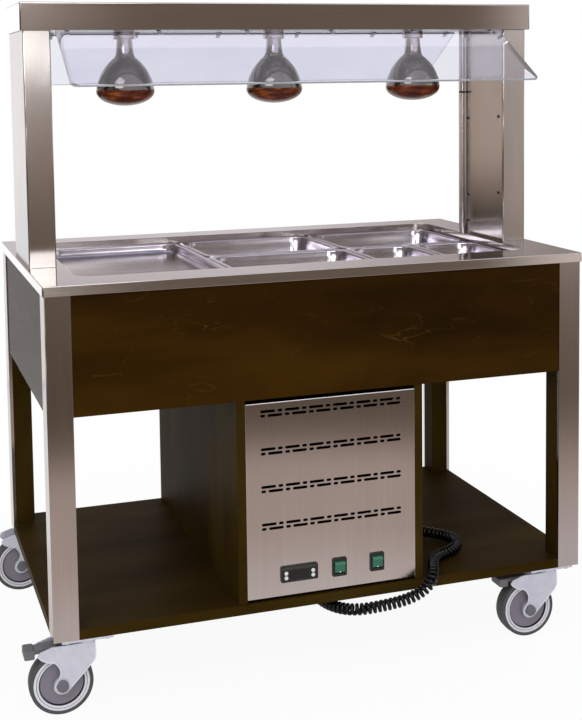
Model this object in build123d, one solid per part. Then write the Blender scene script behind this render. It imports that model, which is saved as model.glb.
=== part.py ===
from build123d import *
from math import cos, radians, sin, tan
import os

# Mobile hot buffet counter: wood body on casters, stainless worktop with a well for gastronorm pans,
# two columns with a lamp bridge and sneeze panes. Sizes in millimetres, +X to the right, +Y to the rear,
# +Z up. Everything is drawn about the middle of the worktop, and save() moves it so that the origin is on
# the floor at the middle of the whole counter, with its casters trailing to the left.

# Worktop
worktop_length = 1150.0
worktop_depth = 710.0
worktop_height = 840.0
worktop_edge = 20.0
worktop_hem = 15.0
worktop_corner = 3.0
worktop_fold = 1.5
steel = 1.5
overhang = 3.0

# Gastronorm pans and the well that holds them
gn_width = 325.0
gn_length = 530.0
modules = 3
module_gap = 3.5
side_play = 3.0
body_play = 2.0
pan_recess = 17.0
pan_rim = 11.0
pan_sheet = 1.2
pan_rim_corner = 24.0
pan_corner = 32.0
pan_floor_round = 10.0
pan_taper = 4.0
tray_depth = 20.0
pan_depth = 65.0
well_corner = 34.0
well_sheet = 1.2
well_depth = 160.0
well_flange = 12.0
well_offset = 8.0
bar_height = 12.0
heater_thickness = 4.0
heater_margin = 40.0

# Columns and lamp bridge
column_width = 56.0
column_depth = 230.0
column_inset = 7.0
column_fold = 2.5
column_lip = 6.0
column_height = 484.0
bridge_height = 57.0
bridge_depth = 254.0
bridge_end = 6.0
bridge_corner = 3.0
cover_screw_radius = 3.5
cover_screw_head = 1.5
cover_screw_front = -93.0
cover_screw_rear = 60.0
front_screw_heights = (0.227, 0.591, 0.959)
rear_screw_heights = (0.062, 0.194, 0.574, 0.959)
wiring_tube_radius = 6.0
wiring_fitting_radius = 8.0
wiring_fitting_height = 15.0
wiring_gap = 0.3
wiring_offset = 78.0

# Infrared lamps
lamp_pitch = 338.0
lamp_radius = 62.5
lamp_drop = 158.0
lamp_dome = 31.0
lamp_flank = ((0.98, 0.115), (0.9, 0.246), (0.79, 0.377), (0.625, 0.508), (0.46, 0.606), (0.335, 0.69))
lamp_glass = 2.0
lamp_neck_radius = 17.0
lamp_neck_play = 0.5
lamp_base = 20.0
collar_radius = 24.0
collar_height = 18.0
holder_wall = 4.0
holder_cap = 18.0

# Sneeze panes
pane_thickness = 4.0
pane_slant = 213.5
pane_angle = 31.0
pane_end_gap = 10.0
pane_corner = 13.0
pane_front = 117.0
pane_drop = 0.6
clips_per_pane = 6
clip_end = 24.0
clip_width = 8.0
clip_sheet = 2.0
clip_leg = 12.0
clip_foot = 12.0
clip_foot_clear = 2.0
clip_screw_radius = 2.0
clip_screw_head = 3.8
clip_screw_head_height = 1.5
clip_hole_play = 0.1

# Wood body
caster_height = 150.0
shelf_thickness = 20.0
panel_height = 235.0
panel_thickness = 18.0
panel_recess = 2.0
floor_thickness = 15.0
post_width = 50.0
post_depth = 55.0
cladding_sheet = 1.2
cladding_lip = 8.0

# Cabinet under the well
cabinet_width = 402.0
cabinet_front_gap = 7.5
cabinet_front_return = 15.0
slot_groups = 4
slot_pairs = 6
slot_long = 31.0
slot_short = 10.0
slot_space = 5.2
slot_height = 5.6
slot_row_pitch = 9.0
slot_group_pitch = 77.2
slot_top_margin = 17.0

# Controller and its buttons
controller_width = 79.0
controller_height = 33.0
controller_proud = 4.0
controller_corner = 3.0
controller_frame = 3.0
controller_body_depth = 58.0
controller_x = -73.8
control_row = 44.0
button_radius = 4.0
button_spread = 28.8
button_upper = 2.4
button_lower = -7.2
button_proud = 1.2
button_travel = 0.8
button_length = 3.0
button_play = 0.08

# Rocker switches
switch_width = 31.0
switch_height = 38.6
switch_proud = 3.0
switch_corner = 3.0
switch_frame = 2.5
switch_body_depth = 26.0
switch_first_x = 13.4
switch_pitch = 83.0
rocker_width = 22.0
rocker_half_height = 13.0
rocker_play = 0.4
rocker_tilt = 8.0
rocker_pivot_depth = 6.0
rocker_crest = 4.0
rocker_back = 4.0
rocker_pin_radius = 1.5
rocker_pin_length = 2.0
rocker_pin_play = 0.05

# Control box inside the cabinet
control_box_width = 240.0
control_box_depth = 160.0
control_box_height = 120.0
control_box_wall = 3.0
control_box_set_back = 120.0

# Casters
wheel_radius = 62.5
wheel_width = 32.0
tyre_thickness = 8.0
wheel_hub_radius = 17.0
wheel_dish = 5.0
wheel_rim_wall = 10.5
caster_trail = 50.0
caster_inset_x = 69.0
caster_inset_y = 33.0
plate_thickness = 4.0
plate_length = 100.0
plate_width = 60.0
plate_bolt_inset = 11.0
bolt_head_radius = 6.5
bolt_head_height = 3.5
bolt_radius = 4.0
bolt_depth = 14.0
king_pin_radius = 6.0
king_nut_radius = 9.5
king_nut_height = 5.0
swivel_play = 0.3
head_radius = 26.0
head_height = 4.7
crown_thickness = 4.0
fork_gap = 44.0
fork_sheet = 3.0
fork_nose = 15.0
fork_tail = 46.0
crown_back = 34.0
cheek_back = 17.0
cheek_tail_low = 64.0
cheek_tail_high = 71.0
cheek_tail_slope = 5.0
cheek_nose_low = 48.0
cheek_nose_foot = 39.0
cheek_nose_slope = 5.0
cheek_notch_backs = (8.0, 3.0, 13.0, 29.0)
cheek_notch_rises = (10.0, 29.0, 46.0, 50.5)
axle_radius = 5.0
axle_cap_radius = 11.0
axle_cap_height = 7.0
axle_cap_round = 2.0
running_play = 0.05
hub_play = 0.3
boss_radius = 16.0

# Brake pedals of the front casters
pedal_pivot_back = 8.0
pedal_pivot_rise = 70.0
pedal_pin_radius = 3.0
pedal_eye = 5.0
pedal_arm_width = 30.0
pedal_arm_top = 5.0
pedal_tread_width = 38.0
pedal_tread_length = 20.0
pedal_tread_height = 17.0
pedal_tread_top = 4.0
pedal_tread_round = 3.0
pedal_overreach = 8.0

# Mains lead: curly cord, gland and plug
coil_radius = 13.0
gland_y = -118.0
gland_rise = 20.0
gland_nut_radius = 13.0
gland_nut_height = 9.0
gland_relief_length = 33.0
gland_relief_root = 9.5
gland_relief_tip = 6.0
plug_radius = 19.0
plug_length = 42.0
plug_relief_length = 26.0
plug_relief_tip = 6.0
plug_face_radius = 17.0
plug_face_height = 6.0
plug_pin_radius = 2.4
plug_pin_length = 19.0
plug_pin_pitch = 19.0
plug_clip_width = 20.0
plug_clip_sheet = 2.0
plug_clip_ear = 16.0
plug_clip_play = 0.3

# Heights that follow from the sizes above
shelf_bottom = caster_height
shelf_top = shelf_bottom + shelf_thickness
body_top = worktop_height - worktop_edge
body_bottom = body_top - panel_height
ledge_top = worktop_height - pan_recess
bridge_bottom = worktop_height + column_height
bridge_top = bridge_bottom + bridge_height

# Plan positions that follow from the sizes above
frame_x = worktop_length / 2 - overhang
frame_y = worktop_depth / 2 - overhang
panel_y = frame_y - panel_recess
panel_x = frame_x - panel_recess
well_half_x = (modules * gn_width + (modules - 1) * module_gap) / 2 + side_play
well_half_y = gn_length / 2 + side_play
ledge_width = side_play + pan_rim - body_play
bar_width = module_gap + 2 * (pan_rim - body_play)
module_pitch = gn_width + module_gap
column_outer = worktop_length / 2 - column_inset
column_inner = column_outer - column_width
cabinet_half = cabinet_width / 2
cabinet_inner = cabinet_half - panel_thickness
front_panel_bottom = shelf_top + cabinet_front_gap
front_panel_top = body_bottom - cabinet_front_gap
control_z = front_panel_bottom + control_row
swivel_x = worktop_length / 2 - caster_inset_x
swivel_y = worktop_depth / 2 - caster_inset_y
left_reach = swivel_x + caster_trail + wheel_radius + pedal_overreach
counter_shift = (left_reach - worktop_length / 2) / 2


def save(name, *solids):
    """Write one node; its separate solids stay separate."""
    moved = [Pos(counter_shift, 0, 0) * solid for solid in solids]
    export_step(moved[0] if len(moved) == 1 else Compound(children=moved), f"parts/{name}.step")


def slab(x0, x1, y0, y1, z0, z1):
    """Box between two corners."""
    middle = Pos((x0 + x1) / 2, (y0 + y1) / 2, (z0 + z1) / 2)
    return middle * Box(abs(x1 - x0), abs(y1 - y0), abs(z1 - z0))


def rounded_slab(half_x, half_y, z0, z1, corner, middle_x=0.0, middle_y=0.0):
    """Upright prism of a rounded rectangle."""
    plan = Pos(middle_x, middle_y, z0) * RectangleRounded(2 * half_x, 2 * half_y, corner)
    return extrude(plan, z1 - z0, dir=(0, 0, 1))


def rod(radius, start, end):
    """Cylinder between two points."""
    axis = Vector(*end) - Vector(*start)
    return extrude(Plane(start, z_dir=axis) * Circle(radius), axis.length)


def taper_rod(start_radius, end_radius, start, end):
    """Cone frustum between two points."""
    axis = Vector(*end) - Vector(*start)
    near = Plane(start, z_dir=axis) * Circle(start_radius)
    far = Plane(end, z_dir=axis) * Circle(end_radius)
    return loft([near, far])


def side_profile(points, y0, y1):
    """Prism between y0 and y1 of an outline given by x and z."""
    outline = Polyline(*[(x, y0, z) for x, z in points], close=True)
    return extrude(make_face(outline), y1 - y0, dir=(0, 1, 0))


def end_profile(points, x0, x1):
    """Prism between x0 and x1 of an outline given by y and z."""
    outline = Polyline(*[(x0, y, z) for y, z in points], close=True)
    return extrude(make_face(outline), x1 - x0, dir=(1, 0, 0))


def front_slab(width, height, corner, x, z, y0, y1):
    """Prism along Y of a rounded rectangle that faces the front."""
    plan = Plane((x, y0, z), x_dir=(1, 0, 0), z_dir=(0, -1, 0)) * RectangleRounded(width, height, corner)
    return extrude(plan, y1 - y0, dir=(0, 1, 0))


# Worktop and well
def worktop():
    """Folded tray of sheet, open below, with a hem that rests on the body and the well opening."""
    half_x = worktop_length / 2
    half_y = worktop_depth / 2
    blank = slab(-half_x, half_x, -half_y, half_y, body_top, worktop_height)
    blank = fillet(blank.edges().filter_by(Axis.Z), worktop_corner)
    blank = fillet(blank.faces().sort_by(Axis.Z)[-1].edges(), worktop_fold)
    inside_x = half_x - steel
    inside_y = half_y - steel
    hollow = slab(-inside_x, inside_x, -inside_y, inside_y, body_top + steel, worktop_height - steel)
    mouth_x = half_x - worktop_hem
    mouth_y = half_y - worktop_hem
    mouth = slab(-mouth_x, mouth_x, -mouth_y, mouth_y, body_top, body_top + steel)
    opening = rounded_slab(
        well_half_x, well_half_y, worktop_height - steel, worktop_height, well_corner, 0, well_offset
    )
    return blank - hollow - mouth - opening


def well_tub():
    """Stepped tub: flange under the worktop, recess wall, ledge for the pan rims, deep walls and floor."""
    seat = worktop_height - steel
    ledge_bottom = ledge_top - well_sheet
    tub_floor = ledge_top - well_depth
    deep_x = well_half_x - ledge_width
    deep_y = well_half_y - ledge_width
    deep_corner = well_corner - ledge_width

    def layer(grow, z0, z1):
        return rounded_slab(
            well_half_x + grow, well_half_y + grow, z0, z1, well_corner + grow, 0, well_offset
        )

    def deep_layer(grow, z0, z1):
        return rounded_slab(deep_x + grow, deep_y + grow, z0, z1, deep_corner + grow, 0, well_offset)

    flange = layer(well_flange, seat - well_sheet, seat)
    recess = layer(well_sheet, ledge_bottom, seat - well_sheet)
    deep = deep_layer(well_sheet, tub_floor - well_sheet, ledge_bottom)
    return flange + recess + deep - layer(0, ledge_top, seat) - deep_layer(0, tub_floor, ledge_top)


def pan_bars():
    """Channels at ledge level: two along the well, one across each divided module, one between quarters."""
    front = well_offset - well_half_y + ledge_width
    back = well_offset + well_half_y - ledge_width
    half_bar = bar_width / 2
    inner = module_pitch / 2 - half_bar
    outer = module_pitch / 2 + half_bar

    def channel(x0, x1, y0, y1, cut_x, cut_y):
        low = ledge_top - bar_height
        bar = slab(x0, x1, y0, y1, low, ledge_top)
        return bar - slab(x0 + cut_x, x1 - cut_x, y0 + cut_y, y1 - cut_y, low, ledge_top - well_sheet)

    bars = []
    for x in (-module_pitch / 2, module_pitch / 2):
        bars.append(channel(x - half_bar, x + half_bar, front, back, well_sheet, 0))
    for x0, x1 in ((-inner, inner), (outer, well_half_x - ledge_width)):
        bars.append(channel(x0, x1, well_offset - half_bar, well_offset + half_bar, 0, well_sheet))
    x = module_pitch
    bars.append(channel(x - half_bar, x + half_bar, front, well_offset - half_bar, well_sheet, 0))
    return bars


def pan(middle_x, middle_y, width, length, depth):
    """Pressed pan: flat rim with rounded corners and a tapered body with a rounded floor."""
    rim = rounded_slab(
        width / 2, length / 2, ledge_top, ledge_top + pan_sheet, pan_rim_corner, middle_x, middle_y
    )

    def body(shrink, top, drop):
        plan = RectangleRounded(
            width - 2 * (pan_rim + shrink), length - 2 * (pan_rim + shrink), pan_corner - shrink
        )
        block = extrude(Pos(middle_x, middle_y, top) * plan, drop, dir=(0, 0, -1), taper=pan_taper)
        return fillet(block.faces().sort_by(Axis.Z)[0].edges(), pan_floor_round - shrink)

    outside = body(0, ledge_top, depth - pan_sheet)
    inside = body(pan_sheet, ledge_top, depth - 2 * pan_sheet)
    mouth = rounded_slab(
        width / 2 - pan_rim - pan_sheet,
        length / 2 - pan_rim - pan_sheet,
        ledge_top,
        ledge_top + pan_sheet,
        pan_corner - pan_sheet,
        middle_x,
        middle_y,
    )
    return rim + outside - inside - mouth


def well_heater():
    """Heating mat bonded to the underside of the tub."""
    top = ledge_top - well_depth - well_sheet
    half_x = well_half_x - ledge_width - heater_margin
    half_y = well_half_y - ledge_width - heater_margin
    return rounded_slab(half_x, half_y, top - heater_thickness, top, well_corner, 0, well_offset)


# Columns and bridge
def column():
    """Right column: sheet folded round all sides, with a window towards the middle for its cover."""
    half = column_depth / 2
    block = slab(column_inner, column_outer, -half, half, worktop_height, bridge_bottom)
    block = fillet(block.edges().filter_by(Axis.Z), column_fold)
    hollow = slab(
        column_inner + steel, column_outer - steel, -half + steel, half - steel, worktop_height, bridge_bottom
    )
    hollow = fillet(hollow.edges().filter_by(Axis.Z), column_fold - steel)
    edge = half - column_lip
    window = slab(column_inner, column_inner + steel, -edge, edge, worktop_height, bridge_bottom)
    return block - hollow - window


def cover_screw_places():
    """Places of the cover screws as y and z, in a front and a rear row up the column."""
    front = [(cover_screw_front, share) for share in front_screw_heights]
    back = [(cover_screw_rear, share) for share in rear_screw_heights]
    return [(y, worktop_height + share * column_height) for y, share in front + back]


def column_cover():
    """Flat plate that closes the right column's window, with screw holes."""
    half = column_depth / 2 - column_lip
    plate = slab(column_inner, column_inner + steel, -half, half, worktop_height, bridge_bottom)
    for y, z in cover_screw_places():
        plate -= rod(cover_screw_radius / 2, (column_inner, y, z), (column_inner + steel, y, z))
    return plate


def cover_screws():
    """Pan-head screws of the right column's cover, each shank through the plate."""
    screws = []
    for y, z in cover_screw_places():
        face = (column_inner, y, z)
        head = rod(cover_screw_radius, (column_inner - cover_screw_head, y, z), face)
        shank = rod(cover_screw_radius / 2, face, (column_inner + steel, y, z))
        screws.append(head + shank)
    return screws


def wiring_tube():
    """Tube with two end fittings that takes the lamp wires up the right column."""
    x = column_inner - wiring_gap - wiring_fitting_radius
    low = worktop_height
    high = bridge_bottom
    tube = rod(wiring_tube_radius, (x, wiring_offset, low), (x, wiring_offset, high))
    for start, end in ((low, low + wiring_fitting_height), (high - wiring_fitting_height, high)):
        tube += rod(wiring_fitting_radius, (x, wiring_offset, start), (x, wiring_offset, end))
    return tube


def bridge_housing():
    """Long sheet box, open below."""
    half_x = column_outer + bridge_end
    half_y = bridge_depth / 2
    block = slab(-half_x, half_x, -half_y, half_y, bridge_bottom, bridge_top)
    ends = block.edges().filter_by(Axis.Z)
    rims = block.faces().sort_by(Axis.Z)[-1].edges()
    block = fillet(ends + rims, bridge_corner)
    hollow = slab(
        -half_x + steel, half_x - steel, -half_y + steel, half_y - steel, bridge_bottom, bridge_top - steel
    )
    corners = hollow.edges().filter_by(Axis.Z) + hollow.faces().sort_by(Axis.Z)[-1].edges()
    return block - fillet(corners, bridge_corner - steel)


def lamp_places():
    """X of each lamp."""
    return [-lamp_pitch, 0, lamp_pitch]


def bridge_floor():
    """Plate that closes the bridge from below, with a hole for each lamp neck."""
    half_x = column_outer + bridge_end - steel
    half_y = bridge_depth / 2 - steel
    plate = rounded_slab(half_x, half_y, bridge_bottom, bridge_bottom + steel, bridge_corner - steel)
    for x in lamp_places():
        plate -= rod(
            lamp_neck_radius + lamp_neck_play, (x, 0, bridge_bottom), (x, 0, bridge_bottom + steel)
        )
    return plate


def lamp(x):
    """Reflector bulb turned about its axis: hollow domed lens and flared reflector, solid neck and base."""
    neck = bridge_bottom - collar_height
    rim = bridge_bottom - lamp_drop + lamp_dome

    def turned(thinner, top):
        low = rim - lamp_dome + thinner
        radius = lamp_radius - thinner
        neck_radius = lamp_neck_radius - thinner
        flare = neck - rim
        lens = Plane.XZ * EllipticalCenterArc((0, rim), radius, rim - low, 270, arc_size=90)
        flank = Spline(
            (radius, 0, rim),
            *[(radius * share, 0, rim + flare * height) for share, height in lamp_flank],
            (neck_radius, 0, neck),
            tangents=((0, 0, 1), (0, 0, 1)),
        )
        rest = Polyline((neck_radius, 0, neck), (neck_radius, 0, top), (0, 0, top), (0, 0, low))
        return revolve(make_face([lens, flank, rest]), Axis.Z)

    bulb = turned(0, bridge_bottom + steel + lamp_base) - turned(lamp_glass, bridge_bottom)
    return Pos(x, 0, 0) * bulb


def lamp_collar(x):
    """Ring round a lamp neck, under the bridge."""
    low = (x, 0, bridge_bottom - collar_height)
    high = (x, 0, bridge_bottom)
    return rod(collar_radius, low, high) - rod(lamp_neck_radius + lamp_neck_play, low, high)


def lamp_holder(x):
    """Ceramic holder on the bridge's floor; the lamp's base ends against its closed top."""
    low = (x, 0, bridge_bottom + steel)
    seat = (x, 0, bridge_bottom + steel + lamp_base)
    top = (x, 0, bridge_bottom + steel + lamp_base + holder_cap)
    radius = lamp_neck_radius + lamp_neck_play
    return rod(radius + holder_wall, low, top) - rod(radius, low, seat)


# Sneeze panes, drawn for the front and mirrored for the rear
pane_run = (-cos(radians(pane_angle)), -sin(radians(pane_angle)))
pane_under = (sin(radians(pane_angle)), -cos(radians(pane_angle)))
pane_edge = (-pane_front, bridge_bottom - pane_drop)
pane_half = column_inner - pane_end_gap


def on_pane(along, below):
    """Point of the pane's cross-section: distance down the slant and below its outer face, as y and z."""
    return (
        pane_edge[0] + along * pane_run[0] + below * pane_under[0],
        pane_edge[1] + along * pane_run[1] + below * pane_under[1],
    )


def clip_places():
    """X of each clip along a pane."""
    step = 2 * (pane_half - clip_end) / (clips_per_pane - 1)
    return [-pane_half + clip_end + i * step for i in range(clips_per_pane)]


def pane_screw_axis(x, above, below):
    """Start and end of a clip screw's axis, from above the pane's outer face to below it."""
    start = on_pane(clip_leg / 2, -above)
    end = on_pane(clip_leg / 2, below)
    return (x, *start), (x, *end)


def front_pane():
    """Clear pane, tilted outwards, with rounded lower corners and holes for its clip screws."""
    sheet_plane = Plane(
        (0, *on_pane(pane_slant / 2, 0)), x_dir=(1, 0, 0), z_dir=(0, *pane_under)
    )
    plan = sheet_plane * Rectangle(2 * pane_half, pane_slant)
    pane = extrude(plan, pane_thickness)
    lower = pane.edges().filter_by(Axis((0, 0, 0), (0, *pane_under))).sort_by(Axis.Z)[0:2]
    pane = fillet(lower, pane_corner)
    for x in clip_places():
        pane -= rod(clip_screw_radius + clip_hole_play, *pane_screw_axis(x, 1, pane_thickness + 1))
    return pane


def pane_clips():
    """Bent clips: a foot under the bridge's floor and a leg along the pane's inner face."""
    foot_low = bridge_bottom - clip_sheet
    leg_start = on_pane(0, pane_thickness)
    leg_end = on_pane(clip_leg, pane_thickness)
    leg_end_under = on_pane(clip_leg, pane_thickness + clip_sheet)
    bend_under = on_pane(0, pane_thickness + clip_sheet)
    foot_start = leg_start[0] + clip_foot_clear
    outline = [
        leg_end,
        leg_start,
        (foot_start, bridge_bottom),
        (foot_start + clip_foot, bridge_bottom),
        (foot_start + clip_foot, foot_low),
        (foot_start + clip_sheet, foot_low),
        bend_under,
        leg_end_under,
    ]
    clips = []
    for x in clip_places():
        clip = end_profile(outline, x - clip_width / 2, x + clip_width / 2)
        clip -= rod(
            clip_screw_radius, *pane_screw_axis(x, -pane_thickness, pane_thickness + 2 * clip_sheet)
        )
        clips.append(clip)
    return clips


def pane_screws():
    """Screws from the pane's outer face into the clips."""
    screws = []
    for x in clip_places():
        tip, _ = pane_screw_axis(x, -pane_thickness - clip_sheet, 0)
        face, _ = pane_screw_axis(x, 0, 0)
        crown, _ = pane_screw_axis(x, clip_screw_head_height, 0)
        screws.append(rod(clip_screw_head, face, crown) + rod(clip_screw_radius, tip, face))
    return screws


def rear(solids):
    """The same pieces on the rear side."""
    return [mirror(solid, about=Plane.XZ) for solid in solids]


# Wood body
def at_corners(solid):
    """A piece drawn at the front left, repeated at the four corners."""
    right = mirror(solid, about=Plane.YZ)
    return [solid, right, mirror(solid, about=Plane.XZ), mirror(right, about=Plane.XZ)]


def cladding():
    """Steel angle on the front left post, with a lip along both free edges."""
    x = -frame_x
    y = -frame_y
    front = slab(x, x + post_width, y, y + cladding_sheet, shelf_bottom, body_top)
    side = slab(x, x + cladding_sheet, y, y + post_depth, shelf_bottom, body_top)
    end_x = x + post_width
    end_y = y + post_depth
    front_lip = slab(end_x - cladding_sheet, end_x, y, y + cladding_lip, shelf_bottom, body_top)
    side_lip = slab(x, x + cladding_lip, end_y - cladding_sheet, end_y, shelf_bottom, body_top)
    angle = front + side + front_lip + side_lip
    corner = angle.edges().filter_by(Axis.Z).group_by(Axis.X)[0].sort_by(Axis.Y)[0]
    return fillet(corner, cladding_sheet)


def post_core():
    """Wood post inside the front left cladding, with a pilot hole for the caster bolt under it."""
    block = slab(-frame_x, -frame_x + post_width, -frame_y, -frame_y + post_depth, shelf_bottom, body_top)
    corner = block.edges().filter_by(Axis.Z).group_by(Axis.X)[0].sort_by(Axis.Y)[0]
    core = fillet(corner, cladding_sheet) - cladding()
    for x, y in bolt_places():
        core -= rod(bolt_radius, (x, y, shelf_bottom), (x, y, shelf_bottom + bolt_depth))
    return core


def front_panel():
    """Wood panel between the front posts."""
    half = frame_x - post_width
    return slab(-half, half, -panel_y, -panel_y + panel_thickness, body_bottom, body_top)


def left_panel():
    """Wood panel between the left posts."""
    half = frame_y - post_depth
    return slab(-panel_x, -panel_x + panel_thickness, -half, half, body_bottom, body_top)


def notched(half_x, half_y, z0, z1):
    """Board with its corners cut out round the posts."""
    board = slab(-half_x, half_x, -half_y, half_y, z0, z1)
    inner_x = frame_x - post_width
    inner_y = frame_y - post_depth
    return board - at_corners(slab(-half_x, -inner_x, -half_y, -inner_y, z0, z1))


def body_floor():
    """Board that closes the body from below."""
    half_x = panel_x - panel_thickness
    half_y = panel_y - panel_thickness
    return notched(half_x, half_y, body_bottom, body_bottom + floor_thickness)


def bottom_shelf():
    """Lower shelf, with a pilot hole for each caster bolt."""
    shelf = notched(frame_x, frame_y, shelf_bottom, shelf_top)
    for x, y in bolt_places():
        shelf -= rod(bolt_radius, (x, y, shelf_bottom), (x, y, shelf_bottom + bolt_depth))
    return shelf


# Cabinet
def cabinet_side():
    """Left side board of the cabinet."""
    return slab(-cabinet_half, -cabinet_inner, -panel_y, panel_y, shelf_top, body_bottom)


def cabinet_rear():
    """Rear board of the cabinet."""
    return slab(-cabinet_inner, cabinet_inner, panel_y - panel_thickness, panel_y, shelf_top, body_bottom)


def slot_row(z, first, second):
    """Slots of one row as x, z and length, alternating between two lengths."""
    pair = first + second + 2 * slot_space
    start = -(slot_pairs * pair - slot_space) / 2
    slots = []
    for i in range(slot_pairs):
        x = start + i * pair
        slots.append((x + first / 2, z, first))
        slots.append((x + first + slot_space + second / 2, z, second))
    return slots


def cabinet_front():
    """Vented steel front with side returns and cut-outs for the controls."""
    y = -panel_y
    plate = slab(-cabinet_inner, cabinet_inner, y, y + steel, front_panel_bottom, front_panel_top)
    for x in (-cabinet_inner, cabinet_inner - steel):
        plate += slab(x, x + steel, y, y + cabinet_front_return, front_panel_bottom, front_panel_top)
    slots = []
    for group in range(slot_groups):
        upper = front_panel_top - slot_top_margin - group * slot_group_pitch
        slots += slot_row(upper, slot_long, slot_short)
        slots += slot_row(upper - slot_row_pitch, slot_short, slot_long)
    face = Plane((0, y, 0), x_dir=(1, 0, 0), z_dir=(0, -1, 0))
    holes = Sketch() + [face * Pos(x, z) * SlotOverall(long, slot_height) for x, z, long in slots]
    plate -= extrude(holes, steel, dir=(0, 1, 0))
    plate -= slab(
        controller_x - controller_width / 2 + controller_frame,
        controller_x + controller_width / 2 - controller_frame,
        y,
        y + steel,
        control_z - controller_height / 2 + controller_frame,
        control_z + controller_height / 2 - controller_frame,
    )
    for x in switch_places():
        plate -= slab(
            x - switch_width / 2 + switch_frame,
            x + switch_width / 2 - switch_frame,
            y,
            y + steel,
            control_z - switch_height / 2 + switch_frame,
            control_z + switch_height / 2 - switch_frame,
        )
    return plate


def button_places():
    """X and z of each controller button."""
    rows = (button_upper, button_lower)
    return [(controller_x + side * button_spread, control_z + rise) for side in (-1, 1) for rise in rows]


def controller():
    """Controller: bezel on the front, body through the cut-out, blind holes for the buttons."""
    y = -panel_y
    bezel = front_slab(
        controller_width, controller_height, controller_corner, controller_x, control_z, y - controller_proud, y
    )
    body = slab(
        controller_x - controller_width / 2 + controller_frame,
        controller_x + controller_width / 2 - controller_frame,
        y,
        y + controller_body_depth,
        control_z - controller_height / 2 + controller_frame,
        control_z + controller_height / 2 - controller_frame,
    )
    unit = bezel + body
    for x, z in button_places():
        mouth = (x, y - controller_proud, z)
        end = (x, y - controller_proud + button_length + button_travel, z)
        unit -= rod(button_radius + button_play, mouth, end)
    return unit


def controller_button(x, z):
    """Round button with a softened edge."""
    face = -panel_y - controller_proud
    button = rod(button_radius, (x, face - button_proud, z), (x, face + button_length - button_travel, z))
    return fillet(button.edges().sort_by(Axis.Y)[0], button_proud / 2)


def switch_places():
    """X of each rocker switch."""
    return [switch_first_x, switch_first_x + switch_pitch]


def rocker_axis_y():
    """Y of the rocker pivots, behind the bezel's face."""
    return -panel_y - switch_proud + rocker_pivot_depth


def switch_body(x):
    """Switch: bezel and body with a pocket for the rocker and bores for its pins."""
    y = -panel_y
    face = y - switch_proud
    bezel = front_slab(switch_width, switch_height, switch_corner, x, control_z, face, y)
    body = slab(
        x - switch_width / 2 + switch_frame,
        x + switch_width / 2 - switch_frame,
        y,
        y + switch_body_depth,
        control_z - switch_height / 2 + switch_frame,
        control_z + switch_height / 2 - switch_frame,
    )
    half_x = rocker_width / 2 + rocker_play
    half_z = rocker_half_height + rocker_play
    back = rocker_axis_y() + rocker_half_height + rocker_play
    pocket = slab(x - half_x, x + half_x, face, back, control_z - half_z, control_z + half_z)
    pin_half = rocker_width / 2 + rocker_pin_length + rocker_play
    pin_y = rocker_axis_y()
    bore = rod(
        rocker_pin_radius + rocker_pin_play, (x - pin_half, pin_y, control_z), (x + pin_half, pin_y, control_z)
    )
    return bezel + body - pocket - bore


def rocker(x):
    """Rocker: two faces that meet at a shallow crest, round ends about the pivot, and two pins."""
    pivot = rocker_axis_y()
    barrel = rod(
        rocker_half_height, (x - rocker_width / 2, pivot, control_z), (x + rocker_width / 2, pivot, control_z)
    )
    crest = pivot - rocker_pivot_depth - rocker_crest + rocker_half_height * tan(radians(rocker_tilt))
    rise = rocker_half_height * tan(radians(rocker_tilt))
    trim = end_profile(
        [
            (crest, control_z),
            (crest - rise, control_z + rocker_half_height),
            (pivot + rocker_back, control_z + rocker_half_height),
            (pivot + rocker_back, control_z - rocker_half_height),
            (crest - rise, control_z - rocker_half_height),
        ],
        x - rocker_width / 2,
        x + rocker_width / 2,
    )
    pin_half = rocker_width / 2 + rocker_pin_length
    pins = rod(rocker_pin_radius, (x - pin_half, pivot, control_z), (x + pin_half, pivot, control_z))
    body = (barrel & trim) + pins
    return Pos(0, pivot, control_z) * Rot(rocker_tilt, 0, 0) * Pos(0, -pivot, -control_z) * body


def control_box():
    """Closed box with the terminals, on the shelf inside the cabinet."""
    y = -panel_y + control_box_set_back
    half = control_box_width / 2
    outside = slab(-half, half, y, y + control_box_depth, shelf_top, shelf_top + control_box_height)
    inside = slab(
        -half + control_box_wall,
        half - control_box_wall,
        y + control_box_wall,
        y + control_box_depth - control_box_wall,
        shelf_top + control_box_wall,
        shelf_top + control_box_height - control_box_wall,
    )
    return outside - inside


# Casters, drawn about the swivel axis with the wheel trailing to the left
axle_z = wheel_radius
crown_top = caster_height - plate_thickness - swivel_play - head_height
crown_bottom = crown_top - crown_thickness
fork_half = fork_gap / 2
fork_outer = fork_half + fork_sheet


def swivel_places():
    """Names and places of the casters."""
    return {
        "front_left": (-swivel_x, -swivel_y),
        "front_right": (swivel_x, -swivel_y),
        "rear_left": (-swivel_x, swivel_y),
        "rear_right": (swivel_x, swivel_y),
    }


def bolt_places():
    """X and y of every caster plate bolt."""
    reach_x = plate_length / 2 - plate_bolt_inset
    reach_y = plate_width / 2 - plate_bolt_inset
    return [
        (x + i * reach_x, y + j * reach_y)
        for x, y in swivel_places().values()
        for i in (-1, 1)
        for j in (-1, 1)
    ]


def caster_plate(x, y):
    """Mounting plate with its king pin and nut, and holes for the bolts."""
    under = shelf_bottom - plate_thickness
    plate = slab(
        x - plate_length / 2, x + plate_length / 2, y - plate_width / 2, y + plate_width / 2, under, shelf_bottom
    )
    for bolt_x, bolt_y in bolt_places():
        plate -= rod(bolt_radius, (bolt_x, bolt_y, under), (bolt_x, bolt_y, shelf_bottom))
    nut_top = crown_bottom - swivel_play
    plate += rod(king_pin_radius, (x, y, nut_top - king_nut_height), (x, y, under))
    return plate + rod(king_nut_radius, (x, y, nut_top - king_nut_height), (x, y, nut_top))


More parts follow.
